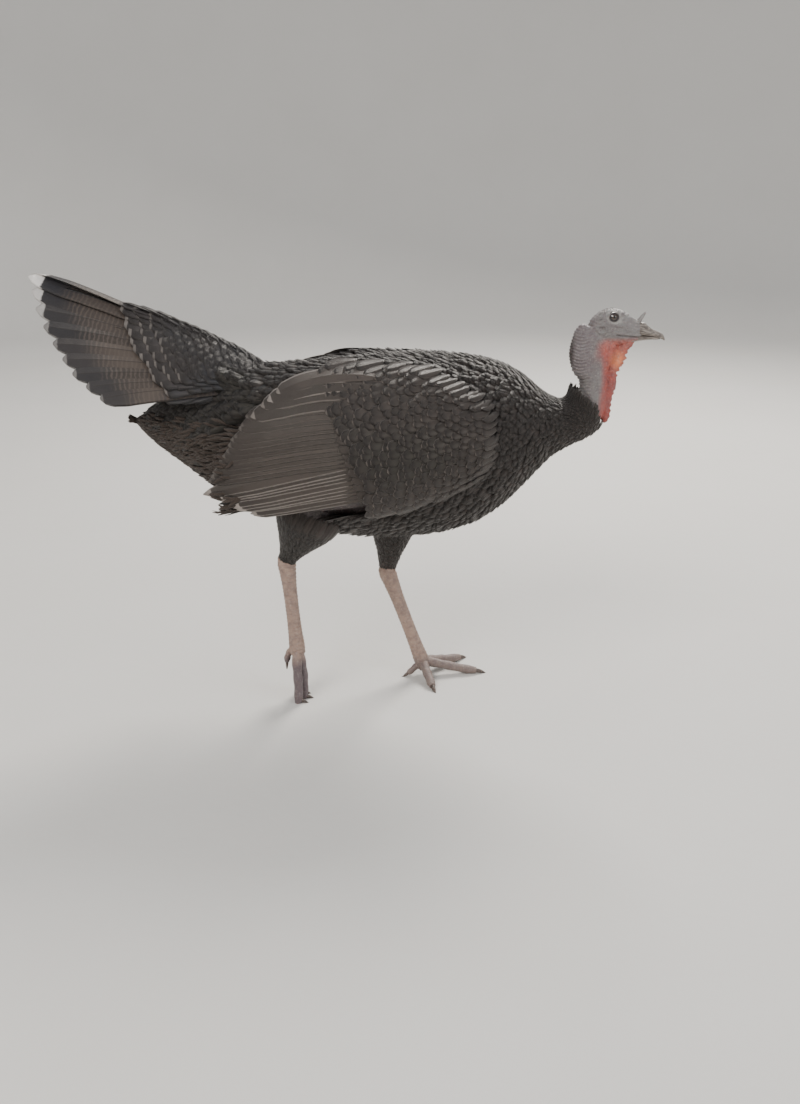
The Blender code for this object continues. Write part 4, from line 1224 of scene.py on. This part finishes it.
def drumstick_feathers(side):
    """Closed vanes whose midlines step down the leg, as knee + axis * run + across * width * cosine + fore
    * depth * sine of the turn, on an oval that shrinks by the coat's cover at the root and comes out to
    the plumage at the tip."""
    knee, hock = np.array(KNEE[side]), np.array(HOCK[side])
    axis, reach = unit(hock - knee), np.linalg.norm(hock - knee)
    rows, turns, share, odd = [], [], CUFF_FIRST, 0
    while share < CUFF_LAST:
        _, deep, wide = drumstick_row(share)
        number = int(2 * np.pi * (deep + wide) / 2 / CUFF_PITCH) + 4
        turns.append((np.arange(number) + 0.5 * odd) * 2 * np.pi / number)
        rows.append(np.full(number, share))
        share += CUFF_PITCH / reach
        odd = 1 - odd
    share, turn = np.concatenate(rows), np.concatenate(turns)
    turn = turn + rng.normal(0, 0.04, len(turn))
    length = np.interp(share, (0.1, 0.9), (0.034, 0.013)) * rng.uniform(0.85, 1.1, len(share))
    across = unit(np.cross((0, 0, 1), (1.0, 0, 0)))
    across = unit(across - axis * (across @ axis))
    fore = np.cross(axis, across)
    middles, outs = [], []
    for step in np.linspace(0, 1, FEATHER_STATIONS):
        run = share + length * step / reach
        here = np.minimum(run, CUFF_END)
        row = drumstick_row(here)
        cover = np.interp(here, (0, 0.8, 0.94), (0.008, 0.004, 0.0018)) * (1 - step) + 0.0006 * step
        deep, wide = row[:, 1] - cover, row[:, 2] - cover
        ray = across * (wide * np.cos(turn))[:, None] + fore * (deep * np.sin(turn))[:, None]
        over_end = np.maximum(run - CUFF_END, 0) * reach * 0.5
        middles.append(knee + axis * (here * reach + over_end)[:, None] + ray)
        outs.append(unit(across * (np.cos(turn) / wide)[:, None] + fore * (np.sin(turn) / deep)[:, None]))
    round_share = turn / (2 * np.pi) % 1
    root_uv = np.stack([0.01 + 0.47 * share + 0.5 * (side == "left"), 0.01 + 0.97 * round_share], -1)
    return make_vanes(
        f"drumstick_plumage_{side}", np.stack(middles, 1), np.stack(outs, 1),
        length[:, None] * 0.23 * FEATHER_OUTLINE, FEATHER_COLUMNS, 0.0005, 0.2, np.zeros(len(share)), root_uv,
    )


for side in SIDES:
    cuff = drumstick_feathers(side)
    cuff.data.materials.append(body_coat)
    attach(cuff, BODY)

# Wing: the flight feathers fold like a fan along the flank, primaries innermost and lowest, secondaries
# over them and tertials on top near the back. Greater coverts lie over their roots.
VANE_COLUMNS = np.array([-1.0, -0.75, -0.45, -0.16, -0.05, 0.0, 0.05, 0.16, 0.45, 0.75, 1.0])
VANE_STATIONS = 26
VANE_ALONG = (0, 0.08, 0.35, 0.75, 0.92, 0.975, 1.0)
VANE_WIDTH = (0.30, 0.55, 0.90, 1.0, 0.80, 0.45, 0.08)
VANE_SLANT = 0.12  # how far a flight feather's face turns up from the wing's, as a slope
WING_BUMP = 0.004  # distance over which the wing's slope is read
WING_GROUPS = (  # name, count, first and last root, first and last tip, half widths, sag, levels, pale mark
    ("primaries", 10, (0.050, 0.318), (0.075, 0.376), (-0.118, 0.286), (-0.182, 0.312), (0.0085, 0.0105),
     0.004, (0.0085, 0.0062), 0.95),
    ("secondaries", 13, (0.060, 0.368), (0.050, 0.428), (-0.176, 0.330), (-0.128, 0.408), (0.0120, 0.0150),
     0.008, (0.0058, 0.0032), 0.20),
    ("tertials", 4, (0.040, 0.430), (0.035, 0.458), (-0.122, 0.410), (-0.088, 0.441), (0.0165, 0.0150),
     0.010, (0.0028, 0.0012), 0.55),
    ("greater_coverts", 14, (0.095, 0.335), (0.060, 0.452), (0.012, 0.318), (-0.034, 0.448), (0.0095, 0.0100),
     0.004, (0.0046, 0.0030), 0.05),
)
wing_coat = feather_finish(
    "wing_plumage", dark=(0.028, 0.023, 0.021), light=(0.066, 0.054, 0.048), painted_sheen=(0.044, 0.041, 0.037),
    tip=(0.032, 0.026, 0.024), pale=(0.34, 0.30, 0.275), barb=0.0015, roughness=0.46,
)


def on_wing(flat, side, depth, slant=0.0):
    """Points a depth inside the wing's outer face at x and z, and the direction that the face looks, which
    is out by 1 and up by slant less the face's slope."""
    x, z = flat[..., 0], flat[..., 1]
    out = wing_side(x, z)[0] - depth
    slope = (wing_side(x, z + WING_BUMP)[0] - wing_side(x, z - WING_BUMP)[0]) / (2 * WING_BUMP)
    outward = np.stack([0 * slope, np.full(slope.shape, SIDES[side]), slant - slope], axis=-1)
    return np.stack([x, SIDES[side] * out, z], axis=-1), unit(outward)


def wing_uv(root):
    """The place of a root on the unwrapped wing."""
    return np.stack([(0.22 - root[:, 0]) / 0.45, (root[:, 1] - 0.25) / 0.26], -1) * 0.96 + 0.02


def lerp(first, last, share):
    """Rows from the first to the last: first + (last - first) * share."""
    return np.array(first) + (np.array(last) - np.array(first)) * share[:, None]


def flight_feathers(side, name, count, root_a, root_b, tip_a, tip_b, halves, sag, levels, mark):
    """A fan of vanes on a wing's outer face. Midlines run straight from root to tip in x and z, raised by
    four times sag times share times 1 - share, and lie a level inside the face, less towards the tip."""
    place, share = np.linspace(0, 1, count), np.linspace(0, 1, VANE_STATIONS)
    jitter = rng.normal(0, 0.0012, (count, 2))
    root, tip = lerp(root_a, root_b, place), lerp(tip_a, tip_b, place) + jitter
    flat = root[:, None] + (tip - root)[:, None] * share[:, None]
    flat[..., 1] += sag * 4 * share * (1 - share)
    level = np.interp(place, (0, 1), levels)[:, None] - 0.0010 * share
    middle, outward = on_wing(flat, side, level, VANE_SLANT)
    width = np.interp(place, (0, 1), halves)[:, None] * np.interp(share, VANE_ALONG, VANE_WIDTH)
    marks = mark * rng.uniform(0.7, 1.1, count)
    uv = wing_uv(root)
    return make_vanes(f"{name}_{side}", middle, outward, width, VANE_COLUMNS, 0.0007, 0.08, marks, uv, 0.0007)


for side in SIDES:
    for group in WING_GROUPS:
        flight = flight_feathers(side, *group)
        flight.data.materials.append(wing_coat)
        if group[0] == "secondaries":
            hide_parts(f"wing_{side}")
        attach(flight, BODY)

# Wing coverts: small round feathers in staggered rows over the arm, as dark scales with paler edges. They
# end along a slanting line, further forward low on the wing.
COVERT_COLUMNS = np.array([-1.0, -0.5, 0.0, 0.5, 1.0])
COVERT_STATIONS = 8
COVERT_PITCH = (0.0088, 0.0095)  # of the roots, along x and z
COVERT_FIELD = ((0.004, 0.196), (0.28, 0.485))  # x and z between which they may grow
COVERT_ROOT_DEPTH, COVERT_TIP_DEPTH = 0.0050, 0.0002
covert_coat = feather_finish(
    "covert_plumage", dark=(0.020, 0.017, 0.016), light=(0.054, 0.044, 0.040), painted_sheen=(0.029, 0.028, 0.025),
    tip=(0.012, 0.010, 0.011), pale=(0.13, 0.11, 0.10),
)


def wing_coverts(side):
    """Vanes on a wing's face: midlines run back from a root by a reach, and down by 0.22 of it, while their
    depth inside the face goes evenly from the root's to the tip's."""
    steps = (np.arange(*ends, pitch) for ends, pitch in zip(COVERT_FIELD, COVERT_PITCH))
    row_x, row_z = np.meshgrid(*steps, indexing="ij")
    row_z = row_z + COVERT_PITCH[1] / 2 * (np.arange(row_x.shape[0]) % 2)[:, None]
    x, z = (v.ravel() + rng.normal(0, 0.0009, v.size) for v in (row_x, row_z))
    up = wing_side(x, z)[1]
    last_x = np.interp(z, (0.31, 0.36, 0.48), (0.052, 0.046, 0.002)) + rng.normal(0, 0.005, len(x))
    held = (up > 0.04) & (up < 0.98) & (x > last_x)
    root = np.stack([x, z], -1)[held]
    count = len(root)
    reach = np.interp(root[:, 0], (0.0, 0.10, 0.19), (0.042, 0.030, 0.022)) * rng.uniform(0.9, 1.1, count)
    tip = root + np.stack([-reach, -0.22 * reach + rng.normal(0, 0.0015, count)], -1)
    share = np.linspace(0, 1, COVERT_STATIONS)
    flat = root[:, None] + (tip - root)[:, None] * share[:, None]
    depth = COVERT_ROOT_DEPTH + (COVERT_TIP_DEPTH - COVERT_ROOT_DEPTH) * share
    middle, outward = on_wing(flat, side, depth - rng.uniform(-0.0004, 0.0003, count)[:, None])
    width = reach[:, None] * 0.29 * np.interp(share, OUTLINE_ALONG, OUTLINE_WIDTH)
    marks = rng.uniform(0.1, 0.9, count)
    return make_vanes(
        f"wing_coverts_{side}", middle, outward, width, COVERT_COLUMNS, 0.0005, 0.12, marks, wing_uv(root)
    )


for side in SIDES:
    scales = wing_coverts(side)
    scales.data.materials.append(covert_coat)
    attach(scales, BODY)

# Tail: eighteen stiff feathers fan out from the rump, folded down on each side like a low tent. Each has
# fine wavy bars and a dark band, and the middle ones have white tips.
TAIL_FEATHER_COUNT, TAIL_STATIONS = 18, 44
TAIL_ROOT = np.array([-0.110, 0.0, 0.447])
TAIL_HALF_SPREAD, TAIL_TENT = np.radians(31), np.radians(42)
TAIL_LENGTH, TAIL_SIDE_SHORTENING, TAIL_DROOP = 0.3237, 0.146, 0.018
TAIL_ROOT_HALF_WIDTH = 0.034
TAIL_ALONG = (0, 0.2, 0.6, 0.85, 0.94, 0.98, 1.0)
TAIL_WIDTH = (0.35, 0.62, 0.95, 1.0, 0.82, 0.5, 0.1)
TAIL_MARKS = ((0.08, 0.20, 0.35, 1.0), (1.0, 0.70, 0.26, 0.16))  # how pale the tips are, middle to side


def tail_point(share, station, height):
    """A point on the tail's tent: share from -1 to 1 across the fan, station from 0 at its root to 1 at
    its edge, height above the sheet. It goes a radius out from the root along the fan's angle, drops by
    the sine of the tent times its distance from the middle, and droops by the cube of the station."""
    size = np.abs(share)
    angle = size * TAIL_HALF_SPREAD
    radius = (TAIL_LENGTH - TAIL_SIDE_SHORTENING * size**1.15) * station
    out = np.sign(share) * (TAIL_ROOT_HALF_WIDTH * size + radius * np.sin(angle))
    drop = np.abs(out) * np.sin(TAIL_TENT) * (1 - np.exp(-np.abs(out) / TAIL_ROOT_HALF_WIDTH))
    drop = drop + TAIL_DROOP * np.clip(station, 0, 2) ** 3 - height
    ahead, y = radius * np.cos(angle), out * np.cos(TAIL_TENT)
    x = -ahead * np.cos(TAIL_PITCH) - drop * np.sin(TAIL_PITCH)
    z = ahead * np.sin(TAIL_PITCH) - drop * np.cos(TAIL_PITCH)
    return TAIL_ROOT + np.stack(np.broadcast_arrays(x, y, z), axis=-1)


def tail_vanes(name, share, first, last, height, width, columns, mark, ridge, facing=1):
    """Feathers along the tail's rays from station first to last. Height and width are (n, s): how far each
    point stands over the sheet, and half its breadth. Facing is 1 for up and -1 for down."""
    station = first[:, None] + (last - first)[:, None] * np.linspace(0, 1, width.shape[1])
    rays = np.broadcast_to(share[:, None], station.shape)
    middle = tail_point(rays, station, height)
    wide = tail_point(rays + 0.02, station, height) - tail_point(rays - 0.02, station, height)
    long = tail_point(rays, station + 0.01, height) - tail_point(rays, station - 0.01, height)
    outward = unit(np.cross(wide, long))
    outward *= np.sign(outward[..., 2:]) * facing
    root_uv = np.stack([0.5 + 0.48 * share, 0.02 + 0.96 * np.clip(first + 0.3, 0, 1.3) / 1.3], -1)
    return make_vanes(name, middle, outward, width, columns, 0.0008, 0.06, mark, root_uv, ridge)


# Tail feathers: the dark band before the tip is their own; its blue tint is a painted sheen.
tail_coat = feather_finish(
    "tail_plumage", dark=(0.020, 0.017, 0.017), light=(0.085, 0.066, 0.056), painted_sheen=(0.030, 0.027, 0.030),
    tip=(0.010, 0.012, 0.018), pale=(0.74, 0.71, 0.68),
    bars=0.75, barb=0.0016, roughness=0.5, edge_from=0.93,
)
share = ((np.arange(TAIL_FEATHER_COUNT) + 0.5) / TAIL_FEATHER_COUNT * 2 - 1) * 0.975
order = np.abs(share)
along = np.linspace(0, 1, TAIL_STATIONS)
last = 0.992 + rng.normal(0, 0.004, TAIL_FEATHER_COUNT)
mark = np.interp(order, *TAIL_MARKS) * rng.uniform(0.85, 1.0, TAIL_FEATHER_COUNT)
first = np.full(TAIL_FEATHER_COUNT, 0.02)
height = (0.0012 - 0.0024 * order)[:, None] + 0 * along
width = (0.0195 - 0.004 * order)[:, None] * np.interp(along, TAIL_ALONG, TAIL_WIDTH)
quills = tail_vanes("tail_feathers", share, first, last, height, width, VANE_COLUMNS, mark, 0.0010)
quills.data.materials.append(tail_coat)
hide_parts("tail")
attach(quills, BODY)

# Tail coverts: rows of soft feathers over and under the tail's root, to more than half of its length. The
# last three rows end in pale tips.
RUMP_STATIONS = 10
RUMP_ROWS = [(0.63, 0.26, 1.0), (0.575, 0.26, 0.9), (0.52, 0.26, 0.7)]  # tips' station, length, pale mark
RUMP_ROWS += [(tip, 0.20, 0.12) for tip in np.arange(0.475, -0.02, -0.040)]
RUMP_ALONG, RUMP_WIDTH = (0, 0.1, 0.4, 0.9, 0.96, 1.0), (0.16, 0.5, 0.9, 1.0, 0.82, 0.40)
RUMP_COLUMNS = np.array([-1.0, -0.55, 0.0, 0.55, 1.0])
HEIGHT_STATIONS = (-0.2, 0.0, 0.14, 0.32, 0.50, 0.62, 0.70)
RUMP_SIDES = {  # name, facing, how strong its pale tips are, and its height over the sheet by station
    "tail_coverts": (1, 1.0, (0.010, 0.0155, 0.0195, 0.0185, 0.0135, 0.0070, 0.0025)),
    "undertail_coverts": (-1, 0.4, (0.010, 0.0155, 0.0195, 0.0210, 0.0170, 0.0085, 0.0035)),
}
rump_coat = feather_finish(
    "rump_plumage", dark=(0.022, 0.019, 0.020), light=(0.062, 0.054, 0.055), painted_sheen=(0.036, 0.040, 0.048),
    tip=(0.014, 0.012, 0.013), pale=(0.17, 0.152, 0.142),
    roughness=0.5, pale_from=0.925, edge_from=0.93,
)


def rump_feathers(name, facing, strength, heights):
    """Vanes along the tail's rays in staggered rows. Their height goes from 0.45 of the cushion's at the
    root to 0.98 at the tip, and the cushion thins towards the tail's sides."""
    shares, firsts, lasts, marks = [], [], [], []
    for number, (tip, long, pale) in enumerate(RUMP_ROWS):
        across = int(np.interp(tip, (0, 0.63), (13, 25)))
        place = (np.arange(across) + 0.5 + 0.5 * (number % 2) - 0.25) / across * 2 - 1
        shares.append(place * 0.97)
        lasts.append(tip + rng.normal(0, 0.005, across))
        firsts.append(lasts[-1] - long)
        marks.append(pale * rng.uniform(0.6, 1.0, across))
    share, first, last, mark = map(np.concatenate, (shares, firsts, lasts, marks))
    along = np.linspace(0, 1, RUMP_STATIONS)
    top = np.interp(first[:, None] + (last - first)[:, None] * along, HEIGHT_STATIONS, heights)
    rim = smooth_step(1.02 - np.abs(share), 0, 0.16)[:, None] * 0.72 + 0.28
    height = rim * top * (0.45 + 0.53 * along) + rng.uniform(-0.0004, 0.0003, (len(share), 1))
    half = np.interp(last, (0, 0.40, 0.63), (0.0085, 0.0115, 0.0140)) * rng.uniform(0.9, 1.1, len(share))
    width = half[:, None] * np.interp(along, RUMP_ALONG, RUMP_WIDTH)
    return tail_vanes(
        name, share, first, last, height * facing, width, RUMP_COLUMNS, mark * strength, 0.0002, facing
    )


for name, (facing, strength, heights) in RUMP_SIDES.items():
    coverts = rump_feathers(name, facing, strength, heights)
    coverts.data.materials.append(rump_coat)
    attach(coverts, BODY)

# Bristles: sparse black hair-like feathers on the crown, nape and bare neck, rooted in the skin and lying
# back and down.
BRISTLE_COUNT, BRISTLE_STATIONS = 420, 5
BRISTLE_LENGTHS = (0.0022, 0.0048)
BRISTLE_HALF_WIDTH, BRISTLE_THICKNESS = 0.00013, 0.0002


def head_bristles():
    """Hairs from skin points picked at random: root + reach * share * (lie + 0.45 of the skin's normal,
    halved towards the tip), where the lie is a backward direction made square to the normal."""
    points, normals = points_of(skin.data), points_of(skin.data, "normal")
    x, _, z = points.T
    bare = (x > 0.292) & (z > 0.425) & (redness(points) < 0.2)
    bare &= (eye_places(points)[1] > 0.0105) & (x < 0.352)
    picked = rng.choice(np.flatnonzero(bare), BRISTLE_COUNT, replace=False)
    root, normal = points[picked], normals[picked]
    lie = np.array([-0.8, 0.0, -0.6]) + rng.normal(0, 0.25, (BRISTLE_COUNT, 3))
    lie = unit(lie - normal * np.einsum("ij,ij->i", lie, normal)[:, None])
    root, normal, lie = root[:, None], normal[:, None], lie[:, None]
    share = np.linspace(0, 1, BRISTLE_STATIONS)
    reach = rng.uniform(*BRISTLE_LENGTHS, BRISTLE_COUNT)[:, None, None]
    path = root + reach * share[:, None] * (lie + normal * 0.45 * (1 - 0.5 * share[:, None]))
    path -= normal * 0.0004
    width = np.full((BRISTLE_COUNT, 1), BRISTLE_HALF_WIDTH) * np.interp(share, (0, 0.6, 1), (1.0, 0.8, 0.25))
    root_uv = 0.02 + 0.9 * (root[:, 0, ::2] - (0.29, 0.42)) / (0.07, 0.12)
    return make_vanes(
        "head_bristles", path, np.broadcast_to(normal, path.shape), width, FEATHER_COLUMNS,
        BRISTLE_THICKNESS, 0.0, np.zeros(BRISTLE_COUNT), root_uv,
    )


bristles = head_bristles()
bristles.data.materials.append(body_coat)
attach(bristles, BODY)
